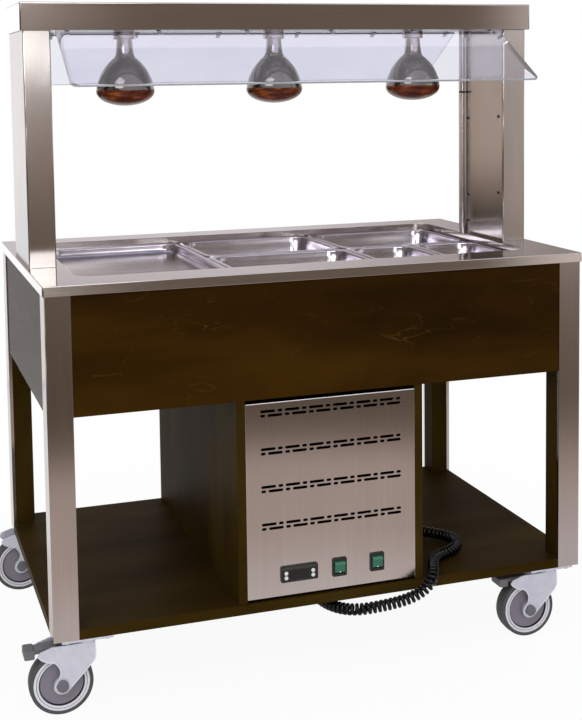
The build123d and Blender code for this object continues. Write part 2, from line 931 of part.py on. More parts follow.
def caster_bolt(x, y):
    """Bolt through a caster plate into the shelf."""
    under = shelf_bottom - plate_thickness
    head = rod(bolt_head_radius, (x, y, under - bolt_head_height), (x, y, under))
    return head + rod(bolt_radius, (x, y, under), (x, y, shelf_bottom + bolt_depth))


def pedal_pivot():
    """X and z of the brake pedal's pivot, about the swivel axis."""
    return -caster_trail - pedal_pivot_back, axle_z + pedal_pivot_rise


def fork(with_brake):
    """Pressed fork: crown with swivel head, two cheeks that taper to the axle and reach back over it."""
    x = -caster_trail
    tail = x - fork_tail

    def cheek(y0, y1):
        rear_top = (x - cheek_back, y0, crown_top)
        rear_tip = (tail, y0, axle_z + cheek_tail_low)
        rear_end = (tail + cheek_tail_slope, y0, axle_z + cheek_tail_high)
        boss_rear = (x - boss_radius * 0.95, y0, axle_z - boss_radius * 0.15)
        front = Polyline(
            rear_end,
            rear_top,
            (fork_nose, y0, crown_top),
            (fork_nose, y0, axle_z + cheek_nose_low),
            (fork_nose - cheek_nose_slope, y0, axle_z + cheek_nose_foot),
            (x + boss_radius * 0.72, y0, axle_z - boss_radius * 0.69),
            boss_rear,
        )
        bends = zip(cheek_notch_backs, cheek_notch_rises)
        notch = Spline(boss_rear, *[(x - back, y0, axle_z + rise) for back, rise in bends], rear_tip)
        tip = Line(rear_tip, rear_end)
        side = extrude(make_face([front, notch, tip]), y1 - y0, dir=(0, 1, 0))
        return side + rod(boss_radius, (x, y0, axle_z), (x, y1, axle_z))

    body = slab(-crown_back, fork_nose, -fork_outer, fork_outer, crown_bottom, crown_top)
    body += cheek(-fork_outer, -fork_half) + cheek(fork_half, fork_outer)
    body += rod(head_radius, (0, 0, crown_top), (0, 0, crown_top + head_height))
    body -= rod(king_pin_radius + running_play, (0, 0, crown_bottom), (0, 0, crown_top + head_height))
    through = fork_outer + fork_sheet
    body -= rod(axle_radius, (x, -through, axle_z), (x, through, axle_z))
    if with_brake:
        pin_x, pin_z = pedal_pivot()
        body -= rod(pedal_pin_radius + running_play, (pin_x, -through, pin_z), (pin_x, through, pin_z))
    return body


def axle():
    """Axle bolt with a round cap outside each cheek."""
    bolt = rod(axle_radius, (-caster_trail, -fork_outer, axle_z), (-caster_trail, fork_outer, axle_z))
    for side in (-1, 1):
        face = (-caster_trail, side * fork_outer, axle_z)
        cap_end = (-caster_trail, side * (fork_outer + axle_cap_height), axle_z)
        cap = rod(axle_cap_radius, face, cap_end)
        bolt += fillet(cap.edges().sort_by(Axis.Y)[-1 if side > 0 else 0], axle_cap_round)
    return bolt


def wheel():
    """Moulded wheel: hub, dished web and rim, with its tyre as a second solid."""
    rim_radius = wheel_radius - tyre_thickness
    half = wheel_width / 2
    hub_half = fork_half - hub_play
    core_points = [
        (axle_radius + running_play, hub_half),
        (wheel_hub_radius, hub_half),
        (wheel_hub_radius, half - wheel_dish),
        (rim_radius - wheel_rim_wall, half - wheel_dish),
        (rim_radius - wheel_rim_wall, half),
        (rim_radius, half),
    ]
    around = core_points + [(r, -y) for r, y in reversed(core_points)]
    core = revolve(make_face(Polyline(*[(r, y, 0) for r, y in around], close=True)), Axis.Y)
    shoulder = tyre_thickness / 2
    tread = Polyline(
        (rim_radius, -half, 0), (rim_radius, half, 0), (wheel_radius - shoulder, half, 0)
    )
    crown = ThreePointArc(
        (wheel_radius - shoulder, half, 0), (wheel_radius, 0, 0), (wheel_radius - shoulder, -half, 0)
    )
    closing = Line((wheel_radius - shoulder, -half, 0), (rim_radius, -half, 0))
    tyre = revolve(make_face([tread, crown, closing]), Axis.Y)
    place = Pos(-caster_trail, 0, axle_z)
    return [place * core, place * tyre]


def brake_pedal():
    """Pedal between the cheeks: arm with an eye on its pivot pin, and a thick tread past the wheel."""
    x, z = pedal_pivot()
    end = -caster_trail - wheel_radius - pedal_overreach
    tread_end = end + pedal_tread_length
    tread_top = z + pedal_tread_top
    half = pedal_arm_width / 2
    arm = side_profile(
        [
            (x, z + pedal_eye),
            (tread_end, tread_top - 1),
            (tread_end, z - pedal_arm_top),
            (x, z - pedal_eye + 1),
        ],
        -half,
        half,
    )
    arm += rod(pedal_eye, (x, -half, z), (x, half, z))
    half = pedal_tread_width / 2
    tread = slab(end, tread_end, -half, half, tread_top - pedal_tread_height, tread_top)
    arm += fillet(tread.edges().filter_by(Axis.Y), pedal_tread_round)
    return arm + rod(pedal_pin_radius, (x, -fork_outer, z), (x, fork_outer, z))


# Mains lead: gland, curly cord, plug and its clip
gland_z = shelf_top + gland_rise
cord_start = cabinet_half + gland_nut_height + gland_relief_length
cord_route = [
    (cord_start, gland_y, gland_z),
    (cord_start + 34, gland_y, gland_z),
    (303, -140, 185),
    (335, -164, 184),
    (347, -202, 184),
    (334, -240, 184),
    (304, -264, 184),
    (268, -278, 184),
    (243, -308, 186),
    (228, -346, 188),
    (213, -374, 180),
    (196, -383, 164),
    (166, -384, 149),
    (128, -382, 141),
    (88, -379, 137),
    (52, -371, 133),
    (26, -350, 129),
    (8, -320, 127),
    (-2, -284, 126),
    (-5, -248, 126),
]


def cord_gland():
    """Gland on the cabinet's right side with a tapered strain relief."""
    face = (cabinet_half, gland_y, gland_z)
    nut_end = (cabinet_half + gland_nut_height, gland_y, gland_z)
    tip = (cord_start, gland_y, gland_z)
    return rod(gland_nut_radius, face, nut_end) + taper_rod(gland_relief_root, gland_relief_tip, nut_end, tip)


def cord_coil():
    """Outer shape of the curly cord: one tube along its route, with arcs as large as the runs allow."""
    points = [Vector(*point) for point in cord_route]
    runs = [after - before for before, after in zip(points, points[1:])]
    radii = []
    for before, after in zip(runs, runs[1:]):
        shorter = min(before.length, after.length)
        radii.append(0.45 * shorter / tan(radians(before.get_angle(after) / 2)))
    path = FilletPolyline(*points, radius=radii)
    section = Plane(path @ 0, z_dir=path % 0) * Circle(coil_radius)
    return sweep(section, path=path)


plug_plane = Plane(
    cord_route[-1], z_dir=Vector(*cord_route[-1]) - Vector(*cord_route[-2])
)


def plug_point(along, across=0.0):
    """Point on the plug's axis, or beside it, level with the floor."""
    return plug_plane.from_local_coords(Vector(0, 0, along)) + plug_side() * across


def plug_side():
    """Level direction across the plug."""
    return plug_plane.z_dir.cross(Vector(0, 0, 1)).normalized()


def mains_plug():
    """Round two-pin plug with a tapered strain relief."""
    body_start = plug_relief_length
    body_end = body_start + plug_length
    face_end = body_end + plug_face_height
    plug = taper_rod(plug_relief_tip, plug_radius / 2, plug_point(0), plug_point(body_start))
    plug += rod(plug_radius, plug_point(body_start), plug_point(body_end))
    plug += rod(plug_face_radius, plug_point(body_end), plug_point(face_end))
    for side in (-1, 1):
        across = side * plug_pin_pitch / 2
        plug += rod(
            plug_pin_radius, plug_point(face_end, across), plug_point(face_end + plug_pin_length, across)
        )
    return plug


def plug_clip():
    """Strap under the shelf that holds the plug's body."""
    start = plug_relief_length + (plug_length - plug_clip_width) / 2
    place = Plane(plug_point(start), x_dir=plug_side(), z_dir=plug_plane.z_dir)
    rise = shelf_bottom - plug_point(0).Z
    inside = plug_radius + plug_clip_play
    outside = inside + plug_clip_sheet
    up = -1 if place.y_dir.Z < 0 else 1
    loop = Circle(outside) + Pos(0, up * rise / 2) * Rectangle(2 * outside, rise)
    hollow = Circle(inside) + Pos(0, up * rise / 2) * Rectangle(2 * inside, rise)
    ears = Pos(0, up * (rise - plug_clip_sheet / 2)) * Rectangle(
        2 * (outside + plug_clip_ear), plug_clip_sheet
    )
    return extrude(place * (loop + ears - hollow), plug_clip_width)


def build():
    """Make and write every node."""
    os.makedirs("parts", exist_ok=True)
    save("worktop", worktop())
    save("well_tub", well_tub())
    save("pan_bars", *pan_bars())
    save("well_heater", well_heater())

    half_length = (gn_length - module_gap) / 2
    half_y = (half_length + module_gap) / 2
    quarter_width = (gn_width - module_gap) / 2
    quarter_x = (quarter_width + module_gap) / 2
    left, middle, right = -module_pitch, 0, module_pitch
    front_y = well_offset - half_y
    rear_y = well_offset + half_y
    save("tray_left", pan(left, well_offset, gn_width, gn_length, tray_depth))
    save("pan_middle_front", pan(middle, front_y, gn_width, half_length, pan_depth))
    save("pan_middle_rear", pan(middle, rear_y, gn_width, half_length, pan_depth))
    save("pan_right_rear", pan(right, rear_y, gn_width, half_length, pan_depth))
    save("pan_quarter_inner", pan(right - quarter_x, front_y, quarter_width, half_length, pan_depth))
    save("pan_quarter_outer", pan(right + quarter_x, front_y, quarter_width, half_length, pan_depth))

    save("column_right", column())
    save("column_left", mirror(column(), about=Plane.YZ))
    save("column_covers", column_cover(), mirror(column_cover(), about=Plane.YZ))
    right_screws = cover_screws()
    save("cover_screws", *right_screws, *[mirror(screw, about=Plane.YZ) for screw in right_screws])
    save("wiring_tube", wiring_tube())
    save("bridge_housing", bridge_housing())
    save("bridge_floor", bridge_floor())
    save("lamps", *[lamp(x) for x in lamp_places()])
    save("lamp_collars", *[lamp_collar(x) for x in lamp_places()])
    save("lamp_holders", *[lamp_holder(x) for x in lamp_places()])
    save("front_pane", front_pane())
    save("rear_pane", *rear([front_pane()]))
    save("pane_clips", *pane_clips(), *rear(pane_clips()))
    save("pane_screws", *pane_screws(), *rear(pane_screws()))

    save("post_claddings", *at_corners(cladding()))
    save("post_cores", *at_corners(post_core()))
    save("front_panel", front_panel())
    save("rear_panel", *rear([front_panel()]))
    save("side_panels", left_panel(), mirror(left_panel(), about=Plane.YZ))
    save("body_floor", body_floor())
    save("bottom_shelf", bottom_shelf())

    save("cabinet_sides", cabinet_side(), mirror(cabinet_side(), about=Plane.YZ))
    save("cabinet_front", cabinet_front())
    save("cabinet_rear", cabinet_rear())
    save("controller", controller())
    for number, (x, z) in enumerate(button_places(), 1):
        save(f"controller_button_{number}", controller_button(x, z))
    save("switch_bodies", *[switch_body(x) for x in switch_places()])
    for name, x in zip(("left", "right"), switch_places()):
        save(f"rocker_{name}", rocker(x))
    save("control_box", control_box())

    save("caster_plates", *[caster_plate(x, y) for x, y in swivel_places().values()])
    save("caster_bolts", *[caster_bolt(x, y) for x, y in bolt_places()])
    for name, (x, y) in swivel_places().items():
        braked = name.startswith("front")
        place = Pos(x, y, 0)
        save(f"fork_{name}", place * fork(braked), place * axle())
        save(f"wheel_{name}", *[place * solid for solid in wheel()])
        if braked:
            save(f"brake_pedal_{name}", place * brake_pedal())

    save("cord_gland", cord_gland())
    save("cord_coil", cord_coil())
    save("mains_plug", mains_plug())
    save("plug_clip", plug_clip())


build()
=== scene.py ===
from math import cos, pi, radians, sin

import bpy
import numpy as np
from mathutils import Matrix, Vector


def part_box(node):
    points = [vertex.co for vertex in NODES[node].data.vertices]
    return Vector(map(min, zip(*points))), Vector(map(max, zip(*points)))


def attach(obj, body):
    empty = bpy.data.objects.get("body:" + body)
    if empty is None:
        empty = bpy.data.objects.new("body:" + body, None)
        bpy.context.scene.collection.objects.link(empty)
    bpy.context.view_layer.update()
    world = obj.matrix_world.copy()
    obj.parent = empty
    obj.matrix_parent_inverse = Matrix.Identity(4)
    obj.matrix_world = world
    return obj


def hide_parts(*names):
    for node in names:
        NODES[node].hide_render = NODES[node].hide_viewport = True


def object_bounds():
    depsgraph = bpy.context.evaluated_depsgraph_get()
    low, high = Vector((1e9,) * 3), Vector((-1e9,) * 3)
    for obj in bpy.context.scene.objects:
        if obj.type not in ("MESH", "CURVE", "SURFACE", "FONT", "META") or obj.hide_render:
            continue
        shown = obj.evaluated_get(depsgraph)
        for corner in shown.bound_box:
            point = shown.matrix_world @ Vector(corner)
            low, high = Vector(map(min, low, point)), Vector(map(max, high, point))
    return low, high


# Mobile hot buffet counter: the looks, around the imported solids. Metres, +Z up, front towards -Y.
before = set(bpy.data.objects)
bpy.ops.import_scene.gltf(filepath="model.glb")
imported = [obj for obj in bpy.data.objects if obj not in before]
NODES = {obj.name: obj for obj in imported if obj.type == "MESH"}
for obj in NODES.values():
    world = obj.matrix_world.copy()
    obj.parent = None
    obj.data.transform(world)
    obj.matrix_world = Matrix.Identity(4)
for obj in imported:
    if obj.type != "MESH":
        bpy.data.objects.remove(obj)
CAD_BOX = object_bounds()
MM = 0.001
# The counter's middle lies this far to the right of the frame's
MIDDLE_X = 25.75 * MM
# Broken edges of the solids, and the share by which a skin's caps are drawn in
EDGE_BREAK = 0.8 * MM
CAP_BAND = 0.03

# Camera: where it stands, how it is turned, and its lens and rise in pixels of the 582 x 720 frame
CAMERA_PLACE = (-0.86295, -2.75266, 1.23139)
CAMERA_YAW = 18.586
CAMERA_PITCH = 4.744
CAMERA_ROLL = 0.724
CAMERA_FOCAL = 1286.2
CAMERA_RISE = 180
FRAME_WIDTH = 582
SENSOR_WIDTH = 36

# Pressed pans
PAN_SHEET = 1.2 * MM
PAN_RIM = 11 * MM
PAN_BEAD = 3 * MM
PAN_RIM_CORNER = 24 * MM
PAN_CORNER = 32 * MM
PAN_EDGE = 4 * MM
PAN_SKIRT = 2.4 * MM
PAN_FLOOR_ROUND = 10 * MM
PAN_TAPER = 0.07
PAN_SHOULDER_DROP = 15 * MM
PAN_SHOULDER_STEP = 2 * MM

# Infrared bulbs: shares of the rim radius and of the flare's height along the flank
BULB_RADIUS = 62.5 * MM
BULB_DOME = 31 * MM
BULB_FLARE = 109 * MM
BULB_FLANK = ((0.98, 0.115), (0.9, 0.246), (0.79, 0.377), (0.625, 0.508), (0.46, 0.606), (0.335, 0.69))
BULB_SHOULDER = 0.66
BULB_NECK = 17 * MM
BULB_STEM = 39.5 * MM
BULB_LENS_RISE = 3 * MM

# Sneeze panes, as their solids have them
PANE_HALF = 502 * MM
PANE_TOP = (-117 * MM, 1323.4 * MM)
PANE_SLANT = 213.5 * MM
PANE_ANGLE = 31.0
PANE_CORNER = 13 * MM
PANE_THICKNESS = 4 * MM
PANE_EDGE_ROUND = 0.7 * MM

# Casters
WHEEL_HALF = 16 * MM
RIM_RADIUS = 54.5 * MM
HUB_HALF = 21.7 * MM
FORK_OUTER = 25 * MM
FORK_NOTCH = [(-46, 64), (-29, 50.5), (-13, 46), (-3, 29), (-8, 10), (-15.2, -2.4)]
FORK_NOSE = [(60, 39), (65, 48), (65, 72)]
FORK_BOSS = 16 * MM
FORK_BEAD = 1.1 * MM
PEDAL_PIN = (-8 * MM, 70 * MM)

# Controls, wiring tube and cabinet front
ROCKER_FACE = -355.05 * MM
ROCKER_DOT = np.array([1.4, 1.4, 1.38, 0.4, 0.15]) * MM
ROCKER_DOT_RISE = 3.6 * MM
# Plates on the controller: height from its middle, half width, half height, corner, depth and edge
DISPLAY = np.array([-2, 20, 8.5, 1, 0.5, 0.2]) * MM
TOP_BAND = np.array([12, 37, 2.6, 1.5, 0.6, 0.3]) * MM
LATCH = np.array([-14, 3, 1.4, 0.5, 0.6, 0.3]) * MM
TUBE_RING_HEIGHT = 1181 * MM
HEM_BEAD = 1.1 * MM
HEM_SIDE_BEAD = 0.7 * MM

# Curly cord: the route of its axis, as the solid has it, and its helix
CORD_ROUTE = [
    (243, -118, 190),
    (277, -118, 190),
    (303, -140, 185),
    (335, -164, 184),
    (347, -202, 184),
    (334, -240, 184),
    (304, -264, 184),
    (268, -278, 184),
    (243, -308, 186),
    (228, -346, 188),
    (213, -374, 180),
    (196, -383, 164),
    (166, -384, 149),
    (128, -382, 141),
    (88, -379, 137),
    (52, -371, 133),
    (26, -350, 129),
    (8, -320, 127),
    (-2, -284, 126),
    (-5, -248, 126),
]
STRAND = 8.0 * MM
COIL_RADIUS = 8.75 * MM
COIL_PITCH = 10.4 * MM
COIL_LEAD = 26 * MM
COIL_STRAIGHT_SHARE = 0.35


# Small tools
def linear(colour):
    """sRGB hex to linear light, channel by channel with the standard transfer curve; alpha 1."""
    channel = np.array([int(colour[i : i + 2], 16) for i in (1, 3, 5)]) / 255
    light = np.where(channel <= 0.04045, channel / 12.92, ((channel + 0.055) / 1.055) ** 2.4)
    return (*(float(c) for c in light), 1.0)


def feed(tree, node, name, value):
    """Sets one input of a node to a number or a colour, or links it to an output or to another node's
    first output."""
    if isinstance(value, bpy.types.Node):
        value = value.outputs[0]
    if isinstance(value, bpy.types.NodeSocket):
        tree.links.new(value, node.inputs[name])
    else:
        node.inputs[name].default_value = value


def add(tree, kind, inputs=(), stops=(), **settings):
    """Adds one shader node: settings are its properties, stops a ramp's places and sRGB colours, and
    each input is fed."""
    made = tree.nodes.new("ShaderNode" + kind)
    for name, value in settings.items():
        setattr(made, name, value)
    for name, value in dict(inputs).items():
        feed(tree, made, name, value)
    for i, (place, colour) in enumerate(stops):
        ramp = made.color_ramp.elements
        stop = ramp[i] if i < 2 else ramp.new(place)
        stop.position = place
        stop.color = linear(colour)
    return made


def new_material(name, **sockets):
    """Empty node material with one Principled shader; returns the material, its tree, shader and Object
    place."""
    material = bpy.data.materials.new(name)
    material.use_nodes = True
    tree = material.node_tree
    tree.nodes.clear()
    shader = add(tree, "BsdfPrincipled", {key.replace("_", " "): value for key, value in sockets.items()})
    add(tree, "OutputMaterial", {"Surface": shader})
    place = add(tree, "TexCoord").outputs["Object"]
    return material, tree, shader, place


def pattern(tree, place, size, detail=4.0, rough=0.55, distort=0.0):
    """Noise from 0 to 1 whose marks measure size, in metres along X, Y and Z."""
    scaled = add(tree, "Mapping", {"Vector": place, "Scale": [1 / s for s in size]})
    settings = {"Vector": scaled, "Scale": 1.0, "Detail": detail, "Roughness": rough}
    return add(tree, "TexNoise", {**settings, "Distortion": distort})


def colour_and_gloss(tree, shader, tone, colours, wear, rough):
    """Colour by one pattern, as places with sRGB colours, and roughness by another, between two limits."""
    feed(tree, shader, "Base Color", add(tree, "ValToRGB", {"Fac": tone}, colours))
    limits = {"Value": wear, "To Min": rough[0], "To Max": rough[1]}
    feed(tree, shader, "Roughness", add(tree, "MapRange", limits))


# Finishes
GRAIN = {"X": (1.0, 0.0, 0.0), "Y": (0.0, 1.0, 0.0), "Z": (0.0, 0.0, 1.0)}


def along(axis, long, fine):
    """Three sizes: long along the grain's axis and fine across it."""
    return [long if letter == axis else fine for letter in "XYZ"]


def brushed_stainless(name, grain, rough, smear, bow=0.0):
    """Stainless sheet, belt brushed along one axis: the fine scratches smear reflections across the
    grain and leave faint light and dark streaks along it. Real scratches are about 0.2 mm apart; they
    are drawn 1.5 mm apart, so that they show. A folded sheet isn't quite square: bow is the slope, in
    the shading alone, by which its upright faces look down."""
    material, tree, shader, place = new_material(
        name, Metallic=1.0, Anisotropic=smear, Anisotropic_Rotation=0.25
    )
    streaks = pattern(tree, place, along(grain, 180 * MM, 1.5 * MM), 3.0)
    clouds = pattern(tree, place, along(grain, 420 * MM, 90 * MM), 2.0)
    both = add(tree, "Math", {0: streaks, 1: clouds}, operation="ADD")
    half = add(tree, "Math", {0: both, 1: 0.5}, operation="MULTIPLY")
    steel = [(0.3, "#beb8b4"), (0.7, "#cac5c2")]
    colour_and_gloss(tree, shader, half, steel, streaks, (rough - 0.02, rough + 0.02))
    feed(tree, shader, "Tangent", add(tree, "CombineXYZ", dict(zip("XYZ", GRAIN[grain]))))
    normal = add(tree, "NewGeometry").outputs["Normal"]
    leaning = add(tree, "VectorMath", {0: normal, 1: (0.0, 0.0, -bow)})
    bent = add(tree, "VectorMath", {0: leaning}, operation="NORMALIZE")
    scratches = {"Height": streaks, "Distance": 0.02 * MM, "Normal": bent}
    feed(tree, shader, "Normal", add(tree, "Bump", scratches))
    return material


def polished_stainless(name):
    """Stainless sheet, pressed and polished: near mirror, with a faint cloudiness and hairline wear."""
    material, tree, shader, place = new_material(name, Metallic=1.0)
    clouds = pattern(tree, place, (60 * MM, 45 * MM, 30 * MM), 3.0)
    wear = pattern(tree, place, (12 * MM, 1.2 * MM, 6 * MM), 4.0)
    colour_and_gloss(tree, shader, clouds, [(0.3, "#cfcbcd"), (0.7, "#e2dfe1")], wear, (0.09, 0.2))
    ripples = {"Height": clouds, "Distance": 0.25 * MM, "Strength": 0.5}
    feed(tree, shader, "Normal", add(tree, "Bump", ripples))
    return material


def satin_stainless(name, dark, light):
    """Stainless sheet, deep drawn and satin finished: soft, cloudy reflections with faint drawing
    streaks."""
    material, tree, shader, place = new_material(name, Metallic=1.0)
    clouds = pattern(tree, place, (70 * MM, 22 * MM, 30 * MM), 3.0, 0.6, 0.6)
    streaks = pattern(tree, place, (90 * MM, 2 * MM, 3 * MM), 4.0)
    colour_and_gloss(tree, shader, clouds, [(0.3, dark), (0.7, light)], streaks, (0.16, 0.25))
    ripples = {"Height": clouds, "Distance": 0.06 * MM, "Strength": 0.5}
    feed(tree, shader, "Normal", add(tree, "Bump", ripples))
    return material


DARK_STAINS = ((0.3, "#201000"), (0.5, "#2d1900"), (0.72, "#3d2603"))
OLIVE_STAINS = ((0.3, "#2b1d05"), (0.5, "#36280b"), (0.72, "#423312"))
VEIN_COLOUR = "#4a3010"
VEIN_WIDTH = 0.007


def stained_wood(name, grain, gloss, sheen, rough=0.45, stains=DARK_STAINS):
    """Birch plywood, stained near black-brown and satin lacquered: long soft grain, cloudy stain and a
    few fine light veins where the stain took less."""
    material, tree, shader, place = new_material(
        name, IOR=1.5, Specular_IOR_Level=gloss, Specular_Tint=linear(sheen)
    )
    cloud = pattern(tree, place, along(grain, 420 * MM, 150 * MM), 3.0, 0.5, 0.4)
    fibre = pattern(tree, place, along(grain, 90 * MM, 2.2 * MM), 5.0, 0.6)
    figure = pattern(tree, place, along(grain, 260 * MM, 75 * MM), 3.0, 0.5, 0.9)
    patch = pattern(tree, place, along(grain, 160 * MM, 60 * MM), 2.0)
    centred = add(tree, "Math", {0: figure, 1: 0.5}, operation="SUBTRACT")
    ridge = add(tree, "Math", {0: centred}, operation="ABSOLUTE")
    vein = add(tree, "MapRange", {"Value": ridge, "From Max": VEIN_WIDTH, "To Min": 1.0, "To Max": 0.0})
    shown = add(tree, "MapRange", {"Value": patch, "From Min": 0.42, "From Max": 0.75})
    faint = add(tree, "Math", {0: vein, 1: shown}, operation="MULTIPLY")
    stain = add(tree, "ValToRGB", {"Fac": cloud}, stains)
    worn = add(tree, "MixRGB", {"Fac": faint, "Color1": stain, "Color2": linear(VEIN_COLOUR)})
    lines = add(tree, "MapRange", {"Value": fibre, "To Min": 0.72, "To Max": 1.25})
    grained = add(tree, "MixRGB", {"Fac": 1.0, "Color1": worn, "Color2": lines}, blend_type="MULTIPLY")
    feed(tree, shader, "Base Color", grained)
    lacquer = {"Value": fibre, "To Min": rough, "To Max": rough + 0.15}
    feed(tree, shader, "Roughness", add(tree, "MapRange", lacquer))
    feed(tree, shader, "Normal", add(tree, "Bump", {"Height": fibre, "Distance": 0.06 * MM}))
    return material


def clear_acrylic(name):
    """Cast acrylic sheet: clear with the faintest violet cast, and a hard gloss."""
    material, tree, shader, place = new_material(name, IOR=1.49, Transmission_Weight=1.0)
    haze = pattern(tree, place, (150 * MM, 150 * MM, 150 * MM), 2.0)
    colour_and_gloss(tree, shader, haze, [(0.3, "#e6e6f1"), (0.7, "#ececf5")], haze, (0.0, 0.02))
    return material


def sawn_acrylic(name):
    """Sawn and flamed edge of the acrylic: pale, milky and bright, because it gathers light from the
    sheet."""
    material, tree, shader, place = new_material(name, IOR=1.49, Transmission_Weight=0.45)
    marks = pattern(tree, place, (3 * MM, 3 * MM, 3 * MM), 3.0)
    colour_and_gloss(tree, shader, marks, [(0.3, "#cfcfd9"), (0.7, "#ecebf2")], marks, (0.15, 0.35))
    return material


def silvered_glass(name):
    """Bulb glass, vacuum silvered inside: a soft mirror under a glass gloss, a little uneven. Its mirror
    colour is painted dark grey, well below silvering, as painted shade for the dim underside and room that
    it mirrors.
    """
    material, tree, shader, place = new_material(name, Metallic=1.0, Coat_Weight=1.0, Coat_Roughness=0.03)
    clouds = pattern(tree, place, (26 * MM, 26 * MM, 40 * MM), 3.0)
    # Dark grey mirror colours: painted shade
    colour_and_gloss(tree, shader, clouds, [(0.3, "#635e59"), (0.7, "#78726d")], clouds, (0.04, 0.08))
    return material


def ruby_glass(name):
    """Bulb lens, ruby-brown lacquered glass: deep red-brown with a wet gloss."""
    material, tree, shader, place = new_material(
        name, IOR=1.5, Specular_IOR_Level=0.2, Coat_Weight=0.12, Coat_Roughness=0.04
    )
    clouds = pattern(tree, place, (30 * MM, 30 * MM, 10 * MM), 3.0)
    lacquer = [(0.35, "#521f09"), (0.55, "#6d3013"), (0.72, "#a55c2d")]
    colour_and_gloss(tree, shader, clouds, lacquer, clouds, (0.18, 0.3))
    return material


def zinc_plate(name):
    """Pressed steel, zinc plated: pale blue-grey, satin, faintly mottled."""
    material, tree, shader, place = new_material(name, Metallic=0.4)
    mottle = pattern(tree, place, (14 * MM, 14 * MM, 14 * MM), 4.0)
    colour_and_gloss(tree, shader, mottle, [(0.3, "#cfd2e1"), (0.7, "#dbdee9")], mottle, (0.34, 0.48))
    feed(tree, shader, "Normal", add(tree, "Bump", {"Height": mottle, "Distance": 0.04 * MM}))
    return material


def moulded_plastic(name, dark, light, rough=0.45, grit=1.2 * MM, gloss=0.5):
    """Injection moulded plastic, and small glazed or burnished parts that look like it: even colour with
    a fine grained skin that breaks its gloss."""
    material, tree, shader, place = new_material(name, IOR=1.47, Specular_IOR_Level=gloss)
    grains = pattern(tree, place, (grit, grit, grit), 3.0)
    colour_and_gloss(tree, shader, grains, [(0.3, dark), (0.7, light)], grains, (rough - 0.06, rough + 0.08))
    feed(tree, shader, "Normal", add(tree, "Bump", {"Height": grains, "Distance": 0.03 * MM}))
    return material


BENCH_STEEL = brushed_stainless("stainless_brushed_lengthwise", "X", 0.12, 0.75, bow=-0.05)
BRIDGE_STEEL = brushed_stainless("stainless_brushed_bridge", "X", 0.1, 0.75, bow=0.055)
UPRIGHT_STEEL = brushed_stainless("stainless_brushed_upright", "Z", 0.16, 0.88)
BRIGHT_STEEL = polished_stainless("stainless_polished")
PAN_STEEL = satin_stainless("stainless_drawn_satin", "#bfbac4", "#d6d2db")
# The tray's floor: a darker copy of the pan steel, as painted shade
TRAY_FLOOR_PAINTED_SHADE = satin_stainless("stainless_drawn_satin_floor_painted_shade", "#7d7473", "#938a89")
PANEL_WOOD = stained_wood("birch_ply_stained_lengthwise", "X", 0.09, "#ffe0a0")
SIDE_WOOD = stained_wood("birch_ply_stained_deep", "Y", 0.47, "#fff2ec", rough=0.34)
UPRIGHT_WOOD = stained_wood("birch_ply_stained_upright", "Z", 0.02, "#ffd98a", stains=OLIVE_STAINS)
SHELF_WOOD = stained_wood("birch_ply_stained_shelf", "X", 0.045, "#ffd070", stains=OLIVE_STAINS)
PANE_CLEAR = clear_acrylic("acrylic_cast_clear")
PANE_EDGE = sawn_acrylic("acrylic_sawn_edge")
SILVERED = silvered_glass("glass_silvered")
RUBY = ruby_glass("glass_ruby_lacquered")
ZINC = zinc_plate("steel_zinc_plated")
BLACK = moulded_plastic("abs_moulded_black", "#101211", "#1b1e1d", 0.4)
WHITE = moulded_plastic("abs_moulded_white", "#dcdcda", "#efefec", 0.35)
GREEN = moulded_plastic("polycarbonate_moulded_green", "#1c5c46", "#357f66", 0.2)
TYRE = moulded_plastic("rubber_moulded_grey", "#444446", "#525154", 0.6)
# Dark colour for the wheel's gap and groove: painted shade
GROOVE_PAINTED_SHADE = moulded_plastic("nylon_groove_painted_shade", "#2f2c33", "#3a363d", 0.5)
RING = moulded_plastic("nylon_moulded_pale", "#dedee8", "#ebebf2", 0.4)
DISC = moulded_plastic("nylon_moulded_grey", "#7c7783", "#8a8591", 0.45)
BRAKE = moulded_plastic("nylon_moulded_dark", "#646268", "#737176", 0.5)
CORD_SKIN = moulded_plastic("polyurethane_extruded_black", "#040505", "#0a0b0c", 0.16, gloss=0.25)
CERAMIC = moulded_plastic("steatite_glazed", "#e2ddd2", "#efebe2", 0.25)
# Paler zinc for the forks' rim beads: a painted highlight on the pressed edge
FORK_RIM_PAINTED_HIGHLIGHT = moulded_plastic("steel_zinc_pressed_rim_painted_highlight", "#dcdfea", "#e9ebf3", 0.35)
SCREW = moulded_plastic("steel_burnished_dark", "#2b2622", "#3a342f", 0.35)
BAND = moulded_plastic("abs_moulded_charcoal", "#2c302f", "#383c3b", 0.4)
GLASS_BLACK = moulded_plastic("acrylic_smoked_black", "#050506", "#0a0a0b", 0.12)
SILICONE = moulded_plastic("silicone_moulded_red", "#6d2a1c", "#7e3424", 0.6)


# Surfaces
def signed_volume(points, blocks):
    """Sixth parts of triple products, summed over the triangles that fan from each face's first
    corner."""
    total = 0.0
    for block in blocks:
        corner = points[block]
        for k in range(1, block.shape[1] - 1):
            total += np.einsum("ij,ij->", corner[:, 0], np.cross(corner[:, k], corner[:, k + 1]))
    return total / 6


